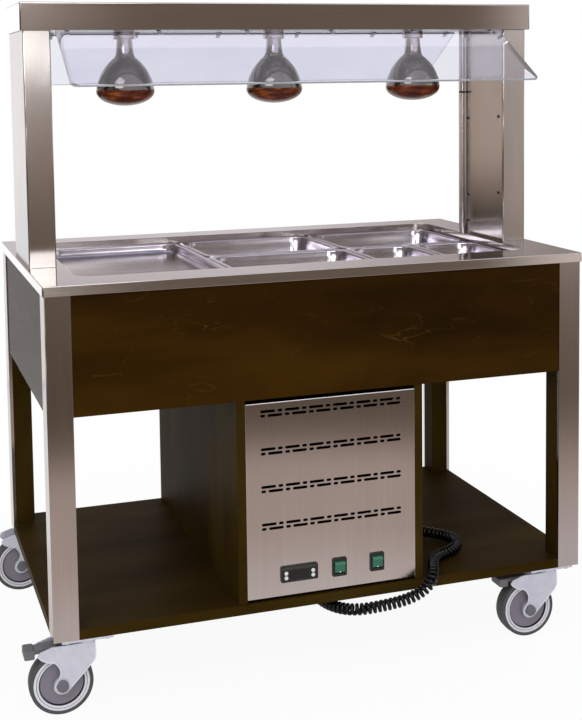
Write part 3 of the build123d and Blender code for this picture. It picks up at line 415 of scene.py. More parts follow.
def skin(rings, shades=None, caps=None, loop_rows=False):
    """Closed skin over rings of points [row, column, xyz]: quads between neighbouring rings, whose
    columns close on themselves, and a flat cap at each end unless the rows close too. A narrow band
    drawn in from each end keeps the caps' shading flat. The sign of its volume turns the skin outwards.
    Shades pick a material for each row of quads, and caps one for each cap."""
    row_shades = np.zeros(len(rings) - (not loop_rows), int) if shades is None else np.asarray(shades, int)
    if not loop_rows:
        caps = (row_shades[0], row_shades[-1]) if caps is None else caps
        drawn_in = rings + CAP_BAND * (rings.mean(axis=1, keepdims=True) - rings)
        rings = np.concatenate([drawn_in[:1], rings, drawn_in[-1:]])
        row_shades = np.concatenate([caps[:1], row_shades, caps[1:]])
    rows, columns, _ = rings.shape
    last = rows if loop_rows else rows - 1
    i, j = np.meshgrid(np.arange(last), np.arange(columns), indexing="ij")
    below = (i + 1) % rows
    beside = (j + 1) % columns
    corners = [i * columns + j, i * columns + beside, below * columns + beside, below * columns + j]
    blocks = [np.stack(corners, -1).reshape(-1, 4)]
    tones = [np.repeat(row_shades, columns)]
    if not loop_rows:
        blocks.append(np.arange(columns)[None, ::-1])
        blocks.append((rows - 1) * columns + np.arange(columns)[None, :])
        tones.append(np.array(caps))
    points = rings.reshape(-1, 3)
    if signed_volume(points, blocks) < 0:
        blocks = [block[:, ::-1] for block in blocks]
    return points, blocks, np.concatenate(tones)


def piece(name, skins, materials, body, stands_for=(), sharp=35):
    """One mesh from closed skins, smooth except along edges sharper than the angle, on a body of the
    part."""
    points = np.concatenate([points for points, _, _ in skins])
    faces = []
    first = 0
    for own_points, blocks, _ in skins:
        for block in blocks:
            faces += (block + first).tolist()
        first += len(own_points)
    mesh = bpy.data.meshes.new(name)
    mesh.from_pydata(points.tolist(), [], faces)
    for material in materials:
        mesh.materials.append(material)
    tones = np.concatenate([tones for _, _, tones in skins]).astype(np.int32)
    mesh.polygons.foreach_set("material_index", tones)
    mesh.shade_smooth()
    mesh.set_sharp_from_angle(angle=radians(sharp))
    made = bpy.data.objects.new(name, mesh)
    bpy.context.scene.collection.objects.link(made)
    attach(made, body)
    if stands_for:
        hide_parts(*stands_for)
    return made


def smooth_line(points, steps=8):
    """Cubic spans through all points but the first and last, which only steer the ends: each span's end
    slopes are half the way between its neighbours."""
    p = np.asarray(points, float)
    t = np.linspace(0, 1, steps, endpoint=False)[None, :, None]
    a, b, c, d = (p[k : len(p) - 3 + k, None, :] for k in range(4))
    spans = b + (c - a) / 2 * t + (a - 2.5 * b + 2 * c - d / 2) * t**2 + (1.5 * (b - c) + (d - a) / 2) * t**3
    return np.vstack([spans.reshape(-1, p.shape[1]), p[-2:-1]])


def plan_loop(half_x, half_y, corners, steps=9):
    """Rounded rectangle about the origin: a quarter circle at each corner, joined by straight sides.
    The corner radii go round from +X +Y to +X -Y."""
    corners = np.broadcast_to(np.asarray(corners, float), 4)[:, None]
    turn = np.linspace(0, pi / 2, steps + 1)[None, :] + np.arange(4)[:, None] * pi / 2
    side_x = np.array([1, -1, -1, 1])[:, None]
    side_y = np.array([1, 1, -1, -1])[:, None]
    x = side_x * (half_x - corners) + corners * np.cos(turn)
    y = side_y * (half_y - corners) + corners * np.sin(turn)
    return np.stack([x.ravel(), y.ravel()], -1)


def turned(profile, centre, axis="Z", segments=96):
    """Surface of revolution: each profile point, a radius and a height along the axis, is carried round
    it."""
    profile = np.asarray(profile, float)
    turn = np.linspace(0, 2 * pi, segments, endpoint=False)
    first = profile[:, 0, None] * np.cos(turn)
    second = profile[:, 0, None] * np.sin(turn)
    height = np.broadcast_to(profile[:, 1, None], first.shape)
    order = {"Z": (first, second, height), "Y": (first, height, second)}[axis]
    return np.stack(order, -1) + np.asarray(centre)


def arc(middle, radius, start, end, steps=6):
    """Points of a circle's arc between two angles in degrees."""
    turn = np.radians(np.linspace(start, end, steps + 1))
    return np.stack([middle[0] + radius * np.cos(turn), middle[1] + radius * np.sin(turn)], -1)


def tube(path, radius, columns=10):
    """Round bead along a path in the X-Z plane: at each point a circle across the path's direction."""
    path = np.asarray(path, float)
    heading = np.gradient(path, axis=0)
    heading /= np.linalg.norm(heading, axis=1)[:, None]
    across = np.stack([heading[:, 2], np.zeros(len(path)), -heading[:, 0]], -1)
    turn = np.linspace(0, 2 * pi, columns, endpoint=False)[None, :, None]
    level = np.array([0.0, 1.0, 0.0])
    return path[:, None, :] + radius * (np.cos(turn) * across[:, None, :] + np.sin(turn) * level)


def front_plate(middle, half_x, half_z, corner, depth, edge):
    """Rounded plate that faces -Y: a rounded rectangle carried forwards and drawn in along a quarter
    circle."""
    bend = np.radians(np.linspace(0, 90, 6))
    inset = np.concatenate([[0.0], edge * (1 - np.cos(bend))])
    lift = np.concatenate([[0.0], depth - edge + edge * np.sin(bend)])
    rows = []
    for drawn_in, height in zip(inset, lift):
        flat = plan_loop(half_x - drawn_in, half_z - drawn_in, max(corner - drawn_in, 0.02 * MM))
        rows.append(np.stack([flat[:, 0], np.full(len(flat), -height), flat[:, 1]], -1))
    return np.stack(rows) + np.asarray(middle)


# Stage and light: the room that mirrors see, in front of the counter and behind it, by height
ROOM_LEFT = [
    (0.38, "#6c5f53"),
    (0.42, "#9d8f85"),
    (0.46, "#c8bbb2"),
    (0.49, "#cec4bf"),
    (0.52, "#c4bab6"),
    (0.56, "#786b62"),
    (0.85, "#7c6f66"),
    (1.0, "#a9a3a4"),
]
ROOM_MIDDLE = [
    (0.25, "#5a4e43"),
    (0.35, "#86786d"),
    (0.48, "#766a5f"),
    (0.8, "#766a5f"),
]
ROOM_RIGHT = [
    (0.29, "#85776d"),
    (0.34, "#968980"),
    (0.4, "#efe2dc"),
    (0.58, "#fff8f6"),
    (0.63, "#ffffff"),
    (0.68, "#ffffff"),
    (0.75, "#8f827a"),
]
BACK_LEFT = [
    (0.385, "#1c1610"),
    (0.408, "#8a7a6f"),
    (0.435, "#c8b6ab"),
    (0.54, "#cdbbb0"),
    (0.6, "#54483f"),
]
BACK_MIDDLE = [
    (0.25, "#fff4f0"),
    (0.36, "#ffffff"),
    (0.55, "#ffffff"),
    (0.61, "#f2eeef"),
    (0.65, "#d6ccd0"),
    (0.8, "#b3a9ad"),
]
BACK_RIGHT = [
    (0.5, "#c2b6ba"),
    (0.65, "#9a8e89"),
]
CEILING = (2.2, 2.2, 2.3, 1.0)
CEILING_BEHIND = "#b8b2b4"
FILL_LIGHT = 0.72
# Where each part of the room passes into the next, as limits of a direction's X, Y or Z
ROOM_LEFT_ENDS = (0.12, 0.2)
ROOM_RIGHT_STARTS = (0.455, 0.5)
BACK_STARTS = (-0.1, 0.1)
BACK_LEFT_STARTS = (-0.2, -0.28)
BACK_RIGHT_STARTS = (0.3, 0.5)
CEILING_STARTS = (0.58, 0.66)
CEILING_TURNS = (-0.4, -0.2)
# Light panels of the room: sides and heights of a direction, each with its soft edge, and the light
LEFT_STRIP = ((-0.2, 0.13, 0.02), (0.006, 0.04, 0.005), (5.0, 5.0, 5.1, 1.0))
LEFT_WINDOW = ((-0.15, 0.17, 0.02), (0.11, 0.4, 0.01), (4.6, 4.6, 4.7, 1.0))
RIGHT_STRIP = ((0.49, 0.8, 0.03), (0.015, 0.07, 0.01), (0.6, 0.57, 0.6, 1.0))
HIGH_LAMP = ((-0.4, -0.1, 0.03), (0.5, 0.62, 0.02), (8.0, 8.0, 8.0, 1.0))
PALE_WALL = ((-0.2, -0.04, 0.03), (-0.3, 0.07, 0.02), (0.45, 0.45, 0.48, 1.0))


def looked_at(tree):
    """1 for rays that come from the camera or through a clear pane, else 0."""
    seen = add(tree, "LightPath").outputs
    both = {0: seen["Is Camera Ray"], 1: seen["Is Transmission Ray"]}
    return add(tree, "Math", both, operation="MAXIMUM")


def between(tree, value, low, high, edge):
    """1 where a value lies between two limits, with soft edges."""
    rise = {"Value": value, "From Min": low - edge, "From Max": low + edge}
    fall = {"Value": value, "From Min": high - edge, "From Max": high + edge, "To Min": 1.0, "To Max": 0.0}
    parts = [add(tree, "MapRange", inputs) for inputs in (rise, fall)]
    return add(tree, "Math", dict(enumerate(parts)), operation="MULTIPLY")


def panel(tree, way, sides, heights, colour):
    """Glow of one light panel of the room, by the direction's X and Z."""
    across = between(tree, way["X"], *sides)
    upright = between(tree, way["Z"], *heights)
    both = add(tree, "Math", {0: across, 1: upright}, operation="MULTIPLY")
    return add(tree, "MixRGB", {"Fac": both, "Color1": linear("#000000"), "Color2": colour})


def passing(tree, value, limits, first, second):
    """Colour that goes from the first to the second as a value goes from one limit to the other."""
    amount = add(tree, "MapRange", {"Value": value, "From Min": limits[0], "From Max": limits[1]})
    return add(tree, "MixRGB", {"Fac": amount, "Color1": first, "Color2": second})


def lit_room(tree, way, colour, glows):
    """Colour of the room with the glow of each light panel added."""
    for glow in glows:
        parts = {"Fac": 1.0, "Color1": colour, "Color2": panel(tree, way, *glow)}
        colour = add(tree, "MixRGB", parts, blend_type="ADD")
    return colour


def studio_world():
    """Plain white where the camera and clear panes look, and an even fill on matt surfaces. Mirrors see
    a warm, dim room by height, with a bright strip and a panel on the left in front, a paler right
    side, a pale wall behind and a light ceiling."""
    world = bpy.data.worlds.new("studio")
    world.use_nodes = True
    bpy.context.scene.world = world
    tree = world.node_tree
    tree.nodes.clear()
    way = add(tree, "SeparateXYZ", {"Vector": add(tree, "TexCoord").outputs["Generated"]}).outputs
    rise = add(tree, "MapRange", {"Value": way["Z"], "From Min": -0.5, "From Max": 0.5})
    # In front of the counter, from the left to the right
    ramps = (ROOM_LEFT, ROOM_MIDDLE, ROOM_RIGHT)
    left, middle, right = (add(tree, "ValToRGB", {"Fac": rise}, ramp) for ramp in ramps)
    room = passing(tree, way["X"], ROOM_LEFT_ENDS, left, middle)
    room = passing(tree, way["X"], ROOM_RIGHT_STARTS, room, right)
    room = lit_room(tree, way, room, (LEFT_STRIP, LEFT_WINDOW, RIGHT_STRIP, HIGH_LAMP))
    # Behind it, then the ceiling over both
    ramps = (BACK_LEFT, BACK_MIDDLE, BACK_RIGHT)
    left, middle, right = (add(tree, "ValToRGB", {"Fac": rise}, ramp) for ramp in ramps)
    wall = passing(tree, way["X"], BACK_RIGHT_STARTS, middle, right)
    wall = lit_room(tree, way, wall, [PALE_WALL])
    wall = passing(tree, way["X"], BACK_LEFT_STARTS, wall, left)
    room = passing(tree, way["Y"], BACK_STARTS, room, wall)
    overhead = passing(tree, way["Y"], CEILING_TURNS, CEILING, linear(CEILING_BEHIND))
    room = passing(tree, way["Z"], CEILING_STARTS, room, overhead)
    mirror = add(tree, "Background", {"Color": room, "Strength": 1.0})
    fill = add(tree, "Background", {"Color": linear("#ffffff"), "Strength": FILL_LIGHT})
    white = add(tree, "Background", {"Color": linear("#ffffff"), "Strength": 1.0})
    glossy = add(tree, "LightPath").outputs["Is Glossy Ray"]
    lit = add(tree, "MixShader", {0: glossy, 1: fill, 2: mirror})
    seen = add(tree, "MixShader", {0: looked_at(tree), 1: lit, 2: white})
    add(tree, "OutputWorld", {"Surface": seen})


# Floor: its size in metres, what mirrors see of it, from the middle outwards, and how it fades to white
FLOOR_RADIUS = 2.6
FLOOR_SIDES = 96
FLOOR_IN_MIRRORS = [
    (0.3, "#e2d8d6"),
    (0.45, "#c9b8b1"),
    (0.68, "#c6b5ad"),
    (0.76, "#a4938a"),
    (0.84, "#7e6f63"),
    (0.95, "#6a5d51"),
]
FLOOR_RIGHT = [
    (0.45, "#d6ccce"),
    (0.62, "#c9bab4"),
    (0.78, "#ab9a91"),
    (0.95, "#85776d"),
]
FLOOR_RIGHT_LEAN = 0.55
FLOOR_RIGHT_STARTS = (0.05, 0.3)
FLOOR_BEHIND = "#ffffff"
FLOOR_BACK_STARTS = (0.1, 0.6)
FLOOR_FADE = (0.5, 1.7)
FLOOR_NEAR_SHARE = 0.94
KEY_LIGHT_PLACE = (-1.9, -2.3, 2.7)
KEY_LIGHT_SIZE = 1.8
KEY_LIGHT_WATTS = 34


def studio_floor():
    """Pale disc under the counter that keeps its shadow. To the eye it fades to the white of the
    background, and to mirrors to the dim room."""
    turn = np.linspace(0, 2 * pi, FLOOR_SIDES, endpoint=False)
    rim = np.stack([FLOOR_RADIUS * np.cos(turn), FLOOR_RADIUS * np.sin(turn), np.zeros(FLOOR_SIDES)], -1)
    mesh = bpy.data.meshes.new("floor")
    mesh.from_pydata(rim.tolist(), [], [list(range(FLOOR_SIDES))])
    floor = bpy.data.objects.new("floor", mesh)
    bpy.context.scene.collection.objects.link(floor)
    material, tree, shader, place = new_material("floor_matt_white", Roughness=0.9)
    shader.inputs["Base Color"].default_value = linear("#f6f6f6")
    away = add(tree, "VectorMath", {0: place}, operation="LENGTH").outputs["Value"]
    near, clear = FLOOR_FADE
    fade = {"Value": away, "From Min": near, "From Max": clear, "To Min": FLOOR_NEAR_SHARE}
    far = add(tree, "MapRange", fade)
    share = add(tree, "Math", {0: far, 1: looked_at(tree)}, operation="MULTIPLY")
    glow = add(tree, "Emission", {"Color": linear("#ffffff"), "Strength": 1.0})
    bright = add(tree, "MixShader", {0: share, 1: shader, 2: glow})
    reach = add(tree, "MapRange", {"Value": away, "From Max": FLOOR_RADIUS})
    left, right = (add(tree, "ValToRGB", {"Fac": reach}, ramp) for ramp in (FLOOR_IN_MIRRORS, FLOOR_RIGHT))
    spot = add(tree, "SeparateXYZ", {"Vector": place}).outputs
    lean = {0: spot["Y"], 1: FLOOR_RIGHT_LEAN, 2: spot["X"]}
    aside = add(tree, "Math", lean, operation="MULTIPLY_ADD")
    tone = passing(tree, aside, FLOOR_RIGHT_STARTS, left, right)
    tone = passing(tree, spot["Y"], FLOOR_BACK_STARTS, tone, linear(FLOOR_BEHIND))
    image = add(tree, "Emission", {"Color": tone, "Strength": 1.0})
    glossy = add(tree, "LightPath").outputs["Is Glossy Ray"]
    both = add(tree, "MixShader", {0: glossy, 1: bright, 2: image})
    output = next(node for node in tree.nodes if node.type == "OUTPUT_MATERIAL")
    feed(tree, output, "Surface", both)
    mesh.materials.append(material)


def soft_box(name, place, target, size, watts):
    """Square area lamp at a place, aimed at a target."""
    lamp = bpy.data.lights.new(name, "AREA")
    lamp.shape = "SQUARE"
    lamp.size = size
    lamp.energy = watts
    holder = bpy.data.objects.new(name, lamp)
    bpy.context.scene.collection.objects.link(holder)
    holder.location = place
    holder.rotation_euler = (Vector(target) - Vector(place)).to_track_quat("-Z", "Y").to_euler()


def set_camera():
    """Camera from its yaw to the right, pitch down and roll, as three turned axes."""
    yaw, pitch, roll = (radians(a) for a in (CAMERA_YAW, CAMERA_PITCH, CAMERA_ROLL))
    forward = np.array([sin(yaw) * cos(pitch), cos(yaw) * cos(pitch), -sin(pitch)])
    level = np.array([cos(yaw), -sin(yaw), 0.0])
    down = np.cross(forward, level)
    right = cos(roll) * level + sin(roll) * down
    up = sin(roll) * level - cos(roll) * down
    data = bpy.data.cameras.new("camera")
    data.sensor_fit = "HORIZONTAL"
    data.sensor_width = SENSOR_WIDTH
    data.lens = CAMERA_FOCAL / FRAME_WIDTH * SENSOR_WIDTH
    data.shift_y = -CAMERA_RISE / FRAME_WIDTH
    camera = bpy.data.objects.new("camera", data)
    bpy.context.scene.collection.objects.link(camera)
    turn = Matrix([[right[k], up[k], -forward[k]] for k in range(3)])
    camera.matrix_world = Matrix.Translation(CAMERA_PLACE) @ turn.to_4x4()
    bpy.context.scene.camera = camera


# Curly cord
def nurbs(name, points):
    """Open smooth curve with the points as its control points."""
    curve = bpy.data.curves.new(name, "CURVE")
    curve.dimensions = "3D"
    spline = curve.splines.new("NURBS")
    spline.points.add(len(points) - 1)
    homogeneous = np.column_stack([points, np.ones(len(points))])
    spline.points.foreach_set("co", homogeneous.ravel())
    spline.order_u = 3
    spline.use_endpoint_u = True
    made = bpy.data.objects.new(name, curve)
    bpy.context.scene.collection.objects.link(made)
    return made


def curve_line(guide, resolution):
    """Points along a curve with no bevel."""
    guide.data.resolution_u = resolution
    bpy.context.view_layer.update()
    mesh = bpy.data.meshes.new_from_object(guide.evaluated_get(bpy.context.evaluated_depsgraph_get()))
    points = np.empty(len(mesh.vertices) * 3)
    mesh.vertices.foreach_get("co", points)
    bpy.data.meshes.remove(mesh)
    return points.reshape(-1, 3)


def curly_cord():
    """Helix round the route: at each step of the route, a point one coil radius from it, turned by the
    pitch. The radius grows from nothing over the straight lead at each end."""
    route = np.array(CORD_ROUTE, float) * MM + np.array([MIDDLE_X, 0, 0])
    guide = nurbs("cord_guide", route)
    line = curve_line(guide, 24)
    bpy.data.objects.remove(guide)
    step = np.linalg.norm(np.diff(line, axis=0), axis=1)
    reach = np.concatenate([[0], np.cumsum(step)])
    per_turn = 14
    count = int(reach[-1] / COIL_PITCH * per_turn)
    s = np.linspace(0, reach[-1], count)
    axis = np.stack([np.interp(s, reach, line[:, k]) for k in range(3)], -1)
    tangent = np.gradient(axis, axis=0)
    tangent /= np.linalg.norm(tangent, axis=1)[:, None]
    side = np.cross(tangent, [0.0, 0.0, 1.0])
    side /= np.linalg.norm(side, axis=1)[:, None]
    over = np.cross(side, tangent)
    ends = np.minimum(s, reach[-1] - s) / COIL_LEAD
    grown = np.clip(ends - COIL_STRAIGHT_SHARE, 0, 1)
    radius = COIL_RADIUS * grown * grown * (3 - 2 * grown)
    turn = 2 * pi * s / COIL_PITCH
    helix = axis + radius[:, None] * (np.cos(turn)[:, None] * over + np.sin(turn)[:, None] * side)
    cord = nurbs("curly_cord", helix)
    cord.data.resolution_u = 2
    cord.data.bevel_depth = STRAND / 2
    cord.data.bevel_resolution = 3
    cord.data.use_fill_caps = True
    cord.data.materials.append(CORD_SKIN)
    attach(cord, "counter")
    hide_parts("cord_coil")
    return cord


# Pans
def pressed_pan(node):
    """Gastronorm pan over its solid's box: rounded rectangles, each with its own inset from the rim,
    height and corner, from the inner floor up the tapered wall and its shoulder, over the rim and down
    the outside."""
    low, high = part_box(node)
    half_x, half_y = (high.x - low.x) / 2, (high.y - low.y) / 2
    ledge = high.z - PAN_SHEET
    top = ledge + PAN_BEAD
    floor = low.z + PAN_SHEET
    mouth = PAN_RIM + PAN_SHEET
    deep = high.z - low.z > 2 * PAN_SHOULDER_DROP
    drop = PAN_SHOULDER_DROP if deep else 0.2 * (top - floor)
    step = PAN_SHOULDER_STEP if deep else 0.0
    foot_rise = floor + PAN_FLOOR_ROUND
    wall = np.array([top - PAN_EDGE, top - drop, top - drop - 1.5 * step - 0.5 * MM, foot_rise])
    wall_inset = mouth + PAN_TAPER * (wall[0] - wall) + step * np.array([0, 0, 1, 1])
    foot = wall_inset[-1]
    bend = np.radians(np.linspace(0, 90, 7))
    inward, downward = 1 - np.cos(bend), np.sin(bend)
    floor_round = np.stack([foot + PAN_FLOOR_ROUND * inward, foot_rise - PAN_FLOOR_ROUND * downward], -1)
    inside = np.concatenate(
        [
            floor_round[::-1],
            np.stack([wall_inset, wall], -1)[-2::-1],
            np.stack([mouth - PAN_EDGE * (1 - np.cos(bend)), top - PAN_EDGE * (1 - np.sin(bend))], -1)[1:],
        ]
    )
    inside_corner = PAN_CORNER - (inside[:, 0] - mouth)
    outer_round = PAN_FLOOR_ROUND + PAN_SHEET
    rim = np.concatenate(
        [
            np.stack([PAN_SKIRT * (1 - np.sin(bend)), top - PAN_SKIRT * (1 - np.cos(bend))], -1),
            [[0.0, ledge + 0.1 * MM], [PAN_SHEET, ledge + 0.1 * MM], [PAN_SHEET, top - PAN_SHEET]],
        ]
    )
    rim_corner = PAN_RIM_CORNER - rim[:, 0]
    outside = np.concatenate(
        [
            [[PAN_RIM, top - PAN_SHEET]],
            np.stack([wall_inset - PAN_SHEET, wall], -1)[1:-1],
            np.stack([foot - PAN_SHEET + outer_round * inward, foot_rise - outer_round * downward], -1),
        ]
    )
    outside_corner = PAN_CORNER + PAN_SHEET - (outside[:, 0] - PAN_RIM)
    profile = np.concatenate([inside, rim, outside])
    corners = np.concatenate([inside_corner, rim_corner, outside_corner])
    rings = []
    for (inset, height), corner in zip(profile, corners):
        loop = plan_loop(half_x - inset, half_y - inset, corner)
        rings.append(np.column_stack([loop, np.full(len(loop), height)]))
    middle = np.array([(low.x + high.x) / 2, (low.y + high.y) / 2, 0.0])
    # The shallow tray's inner floor cap takes the darker steel, which is painted shade
    pan = skin(np.stack(rings) + middle, caps=(int(not deep), 0))
    piece(node + "_pressed", [pan], [PAN_STEEL, TRAY_FLOOR_PAINTED_SHADE], node, [node])


# Lamps
def bulbs():
    """Reflector bulbs, turned: half an ellipse for the lens, a smooth flank to the neck, and the
    stem."""
    low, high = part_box("lamps")
    rim = low.z + BULB_DOME
    sweep = np.radians(np.linspace(2, 90, 24))
    lens = np.stack([BULB_RADIUS * np.sin(sweep), -BULB_DOME * np.cos(sweep)], -1)
    bends = [(share * BULB_RADIUS, height * BULB_FLARE) for share, height in BULB_FLANK]
    steer = (bends[0][0], -bends[0][1])
    ends = [(BULB_NECK, BULB_FLARE), (BULB_NECK, BULB_FLARE + BULB_STEM)]
    flank = smooth_line([steer, (BULB_RADIUS, 0.0), *bends, *ends])
    profile = np.vstack([lens[:-1], flank, ends[-1:]])
    height = profile[:-1, 1]
    shades = np.where(height < BULB_LENS_RISE, 1, np.where(height > BULB_SHOULDER * BULB_FLARE, 2, 0))
    centre = (low.x + high.x) / 2
    pitch = (high.x - low.x) / 2 - BULB_RADIUS
    skins = [skin(turned(profile, (centre + k * pitch, 0.0, rim)), shades) for k in (-1, 0, 1)]
    piece("reflector_bulbs", skins, [SILVERED, RUBY, BRIGHT_STEEL], "counter", ["lamps"])


# Panes
def sneeze_pane(side):
    """Clear sheet with rounded lower corners: its outline, drawn in by a small round at both faces, is
    laid on the slant. The rear pane is the front one mirrored."""
    half_slant = PANE_SLANT / 2
    corners = np.array([1.0 * MM, 1.0 * MM, PANE_CORNER, PANE_CORNER])
    bend = np.radians(np.linspace(0, 90, 4))
    inset = PANE_EDGE_ROUND * np.concatenate([1 - np.sin(bend), (1 - np.sin(bend))[::-1]])
    depth = PANE_EDGE_ROUND * (1 - np.cos(bend))
    depth = np.concatenate([depth, (PANE_THICKNESS - depth)[::-1]])
    tilt = radians(PANE_ANGLE)
    down = np.array([0.0, -cos(tilt), -sin(tilt)])
    under = np.array([0.0, sin(tilt), -cos(tilt)])
    rings = []
    for drawn_in, below in zip(inset, depth):
        flat = plan_loop(PANE_HALF - drawn_in, half_slant - drawn_in, corners - drawn_in)
        rings.append(
            np.array([MIDDLE_X, *PANE_TOP])
            + flat[:, :1] * np.array([1.0, 0.0, 0.0])
            + (half_slant - flat[:, 1:]) * down
            + below * under
        )
    rings = np.stack(rings) * np.array([1.0, side, 1.0])
    node = "front_pane" if side > 0 else "rear_pane"
    shades = np.ones(len(rings) - 1, int)
    sheet = skin(rings, shades, (0, 0))
    piece(node + "_sheet", [sheet], [PANE_CLEAR, PANE_EDGE], "counter", [node])


# Casters
def caster_wheel(corner):
    """Wheel, turned about its axle: a pale rim with a fine groove, a dark gap and a dished grey disc, and a
    tyre with rounded shoulders round it. The groove and the gap are coloured dark as painted shade."""
    node = "wheel_" + corner
    low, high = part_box(node)
    middle = (low + high) / 2
    # Radius and half width in mm, and the material, from the hub outwards
    half = [
        (5.2, HUB_HALF / MM, 1),
        (15.5, HUB_HALF / MM, 1),
        (17, HUB_HALF / MM - 1.5, 1),
        (17.5, 11.5, 1),
        (30, 10.4, 1),
        # Material 2, the dark gap and groove, is painted shade
        (41.6, 11.6, 1),
        (42.6, 11.0, 2),
        (42.8, 9.0, 2),
        (44.2, 9.0, 2),
        (44.4, 14.6, 0),
        (45.4, 15.7, 0),
        (48.4, 15.7, 2),
        (48.6, 15.1, 2),
        (49.4, 15.1, 0),
        (49.6, 15.7, 0),
        (53.4, 15.7, 0),
        (54.4, 15.0, 0),
    ]
    side = np.array(half)
    profile = np.vstack([side[:, :2], side[::-1, :2] * np.array([1.0, -1.0])]) * MM
    shades = np.concatenate([side[:, 2], side[-2::-1, 2], [1]]).astype(int)
    shoulder = arc((RIM_RADIUS / MM + 4.2, WHEEL_HALF / MM - 3.2), 3.2, 90, 24)
    tread = np.vstack([[(54.5, 15.0)], [(55.2, 16.0)], shoulder, [(62.5, 0.0)]])
    band = np.vstack([tread, tread[-2::-1] * np.array([1.0, -1.0])]) * MM
    core = skin(turned(profile, middle, "Y"), shades, loop_rows=True)
    tyre = skin(turned(band, middle, "Y"), np.full(len(band), 3), loop_rows=True)
    piece(node + "_moulded", [core, tyre], [RING, DISC, GROOVE_PAINTED_SHADE, TYRE], node, [node])


def fork_trim(corner):
    """Pressed rim round each cheek's free edge, a bead along its outline in a paler zinc that is a painted
    highlight, and a dark cap over each axle end."""
    body = "fork_" + corner
    low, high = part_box("wheel_" + corner)
    axle = np.array((low + high) / 2)
    notch = np.array(FORK_NOTCH, float)
    steer = [2 * notch[0] - notch[1], *notch, 2 * notch[-1] - notch[-2]]
    boss = arc((0, 0), FORK_BOSS / MM, 189, 316, 14)
    outline = np.vstack([smooth_line(steer), boss, FORK_NOSE]) * MM
    rims = []
    caps = []
    # Axle cap and rivet head: radius and height in mm
    cap = np.vstack([[(0.2, 0)], [(11.5, 0)], arc((9.0, 5.2), 2.5, 0, 90), [(0.2, 7.7)]]) * MM
    for side in (-1, 1):
        path = np.stack([outline[:, 0], np.full(len(outline), side * FORK_OUTER), outline[:, 1]], -1)
        rims.append(skin(tube(axle + path, FORK_BEAD)))
        turned_cap = cap * np.array([1.0, side])
        caps.append(skin(turned(turned_cap, axle + np.array([0.0, side * FORK_OUTER, 0.0]), "Y", 48)))
    if corner.startswith("front"):
        head = np.array([(0.2, 0.0), (4.6, 0.0), (4.2, 0.7), (0.2, 0.9)]) * MM
        for side in (-1, 1):
            pin = axle + np.array([PEDAL_PIN[0], side * FORK_OUTER, PEDAL_PIN[1]])
            rims.append(skin(turned(head * np.array([1.0, side]), pin, "Y", 32), np.ones(3, int)))
    # The rim beads take the paler zinc, a painted highlight
    piece("rim_" + corner, rims, [FORK_RIM_PAINTED_HIGHLIGHT, ZINC], body)
    piece("axle_cap_" + corner, caps, [BRAKE], body)


# Controls
def control_trim():
    """Display, top band and latch of the controller, and the dots of the rockers: small rounded
    plates."""
    low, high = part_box("controller")
    x, z, y = (low.x + high.x) / 2, (low.z + high.z) / 2, low.y
    plates = (DISPLAY, TOP_BAND, LATCH)
    window, band, latch = (front_plate((x, y, z + rise), *sizes) for rise, *sizes in plates)
    pale = np.ones(len(band) - 1, int)
    trim = [skin(window), skin(band, pale), skin(latch, pale)]
    piece("controller_face", trim, [GLASS_BLACK, BAND], "counter")
    for side in ("left", "right"):
        low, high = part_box("rocker_" + side)
        middle = ((low.x + high.x) / 2, ROCKER_FACE, low.z + ROCKER_DOT_RISE)
        dot = front_plate(middle, *ROCKER_DOT)
        piece("rocker_dot_" + side, [skin(dot)], [WHITE], "rocker_" + side)


def cabinet_hem():
    """Folded edges of the cabinet's steel front: a small round bead along its top and a finer one down
    each side."""
    low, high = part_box("cabinet_front")
    steps = 24
    share = np.linspace(0, 1, steps)
    inner_x, inner_z = high.x - low.x - 2 * MM, high.z - low.z - 2 * MM
    face = np.full(steps, low.y + 0.5 * MM)
    top = np.stack([low.x + 1 * MM + inner_x * share, face, np.full(steps, high.z - 0.9 * MM)], -1)
    beads = [skin(tube(top, HEM_BEAD))]
    for x in (low.x + 0.5 * MM, high.x - 0.5 * MM):
        upright = np.stack([np.full(steps, x), face, low.z + 1 * MM + inner_z * share], -1)
        beads.append(skin(tube(upright, HEM_SIDE_BEAD)))
    piece("cabinet_hem", beads, [BRIGHT_STEEL], "counter")


def tube_ring():
    """Dark clip ring round the wiring tube, turned from a small square section."""
    low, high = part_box("wiring_tube")
    centre = ((low.x + high.x) / 2, (low.y + high.y) / 2, TUBE_RING_HEIGHT)
    # Radius and height in mm
    section = np.array([(6.02, -2), (7.4, -2), (7.4, 2), (6.02, 2)]) * MM
    ring = skin(turned(section, centre, "Z", 32), loop_rows=True)
    piece("tube_ring", [ring], [BLACK], "counter")


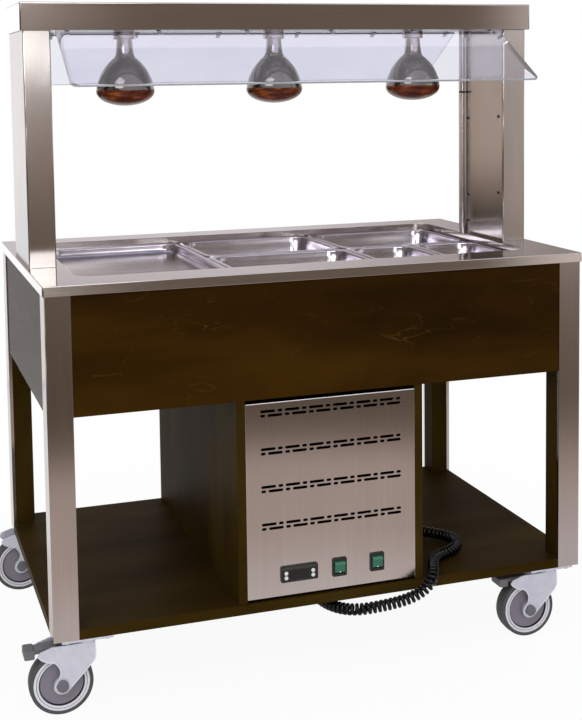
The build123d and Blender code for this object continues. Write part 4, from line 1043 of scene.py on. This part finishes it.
# Finishes of the carried-over solids
FINISHES = {
    "worktop": BENCH_STEEL,
    "well_tub": BENCH_STEEL,
    "pan_bars": BRIGHT_STEEL,
    "well_heater": SILICONE,
    "tray_left": BRIGHT_STEEL,
    "pan_middle_front": BRIGHT_STEEL,
    "pan_middle_rear": BRIGHT_STEEL,
    "pan_right_rear": BRIGHT_STEEL,
    "pan_quarter_inner": BRIGHT_STEEL,
    "pan_quarter_outer": BRIGHT_STEEL,
    "column_right": UPRIGHT_STEEL,
    "column_left": UPRIGHT_STEEL,
    "column_covers": UPRIGHT_STEEL,
    "cover_screws": SCREW,
    "wiring_tube": BRIGHT_STEEL,
    "bridge_housing": BRIDGE_STEEL,
    "bridge_floor": BENCH_STEEL,
    "lamps": SILVERED,
    "lamp_collars": BRIGHT_STEEL,
    "lamp_holders": CERAMIC,
    "front_pane": PANE_CLEAR,
    "rear_pane": PANE_CLEAR,
    "pane_clips": ZINC,
    "pane_screws": ZINC,
    "post_claddings": UPRIGHT_STEEL,
    "post_cores": UPRIGHT_WOOD,
    "front_panel": PANEL_WOOD,
    "rear_panel": PANEL_WOOD,
    "side_panels": SIDE_WOOD,
    "body_floor": PANEL_WOOD,
    "bottom_shelf": SHELF_WOOD,
    "cabinet_sides": UPRIGHT_WOOD,
    "cabinet_front": UPRIGHT_STEEL,
    "cabinet_rear": UPRIGHT_WOOD,
    "controller": BLACK,
    "controller_button_1": WHITE,
    "controller_button_2": WHITE,
    "controller_button_3": WHITE,
    "controller_button_4": WHITE,
    "switch_bodies": BLACK,
    "rocker_left": GREEN,
    "rocker_right": GREEN,
    "control_box": BLACK,
    "caster_plates": ZINC,
    "caster_bolts": ZINC,
    "fork_front_left": ZINC,
    "fork_front_right": ZINC,
    "fork_rear_left": ZINC,
    "fork_rear_right": ZINC,
    "wheel_front_left": DISC,
    "wheel_front_right": DISC,
    "wheel_rear_left": DISC,
    "wheel_rear_right": DISC,
    "brake_pedal_front_left": BRAKE,
    "brake_pedal_front_right": BRAKE,
    "cord_gland": BLACK,
    "cord_coil": CORD_SKIN,
    "mains_plug": BLACK,
    "plug_clip": ZINC,
}
SOFTENED = [
    "front_panel",
    "rear_panel",
    "side_panels",
    "cabinet_sides",
    "cabinet_front",
    "bottom_shelf",
    "worktop",
    "post_claddings",
    "column_left",
    "column_right",
    "bridge_housing",
    "controller",
    "switch_bodies",
    "lamp_collars",
    "brake_pedal_front_left",
    "brake_pedal_front_right",
]


def soften(solid):
    """Broken edges on a solid: its facets are joined, then its sharp edges are rounded."""
    solid.modifiers.new("join", "WELD").merge_threshold = 0.01 * MM
    flat = solid.modifiers.new("flat", "DECIMATE")
    flat.decimate_type = "DISSOLVE"
    flat.angle_limit = radians(1)
    edge = solid.modifiers.new("edge", "BEVEL")
    edge.width = EDGE_BREAK
    edge.segments = 2
    edge.limit_method = "ANGLE"
    edge.angle_limit = radians(40)
    edge.use_clamp_overlap = True


for node, finish in FINISHES.items():
    NODES[node].data.materials.clear()
    NODES[node].data.materials.append(finish)

set_camera()
studio_world()
studio_floor()
middle = (CAD_BOX[0] + CAD_BOX[1]) / 2
soft_box("key_light", KEY_LIGHT_PLACE, middle, KEY_LIGHT_SIZE, KEY_LIGHT_WATTS)
curly_cord()
for pan in [node for node in NODES if node.startswith(("pan_middle", "pan_right", "pan_quarter", "tray"))]:
    pressed_pan(pan)
bulbs()
sneeze_pane(1)
sneeze_pane(-1)
for corner in ("front_left", "front_right", "rear_left", "rear_right"):
    caster_wheel(corner)
    fork_trim(corner)
control_trim()
cabinet_hem()
tube_ring()
for node in SOFTENED:
    soften(NODES[node])

bpy.context.scene.view_settings.view_transform = "Standard"
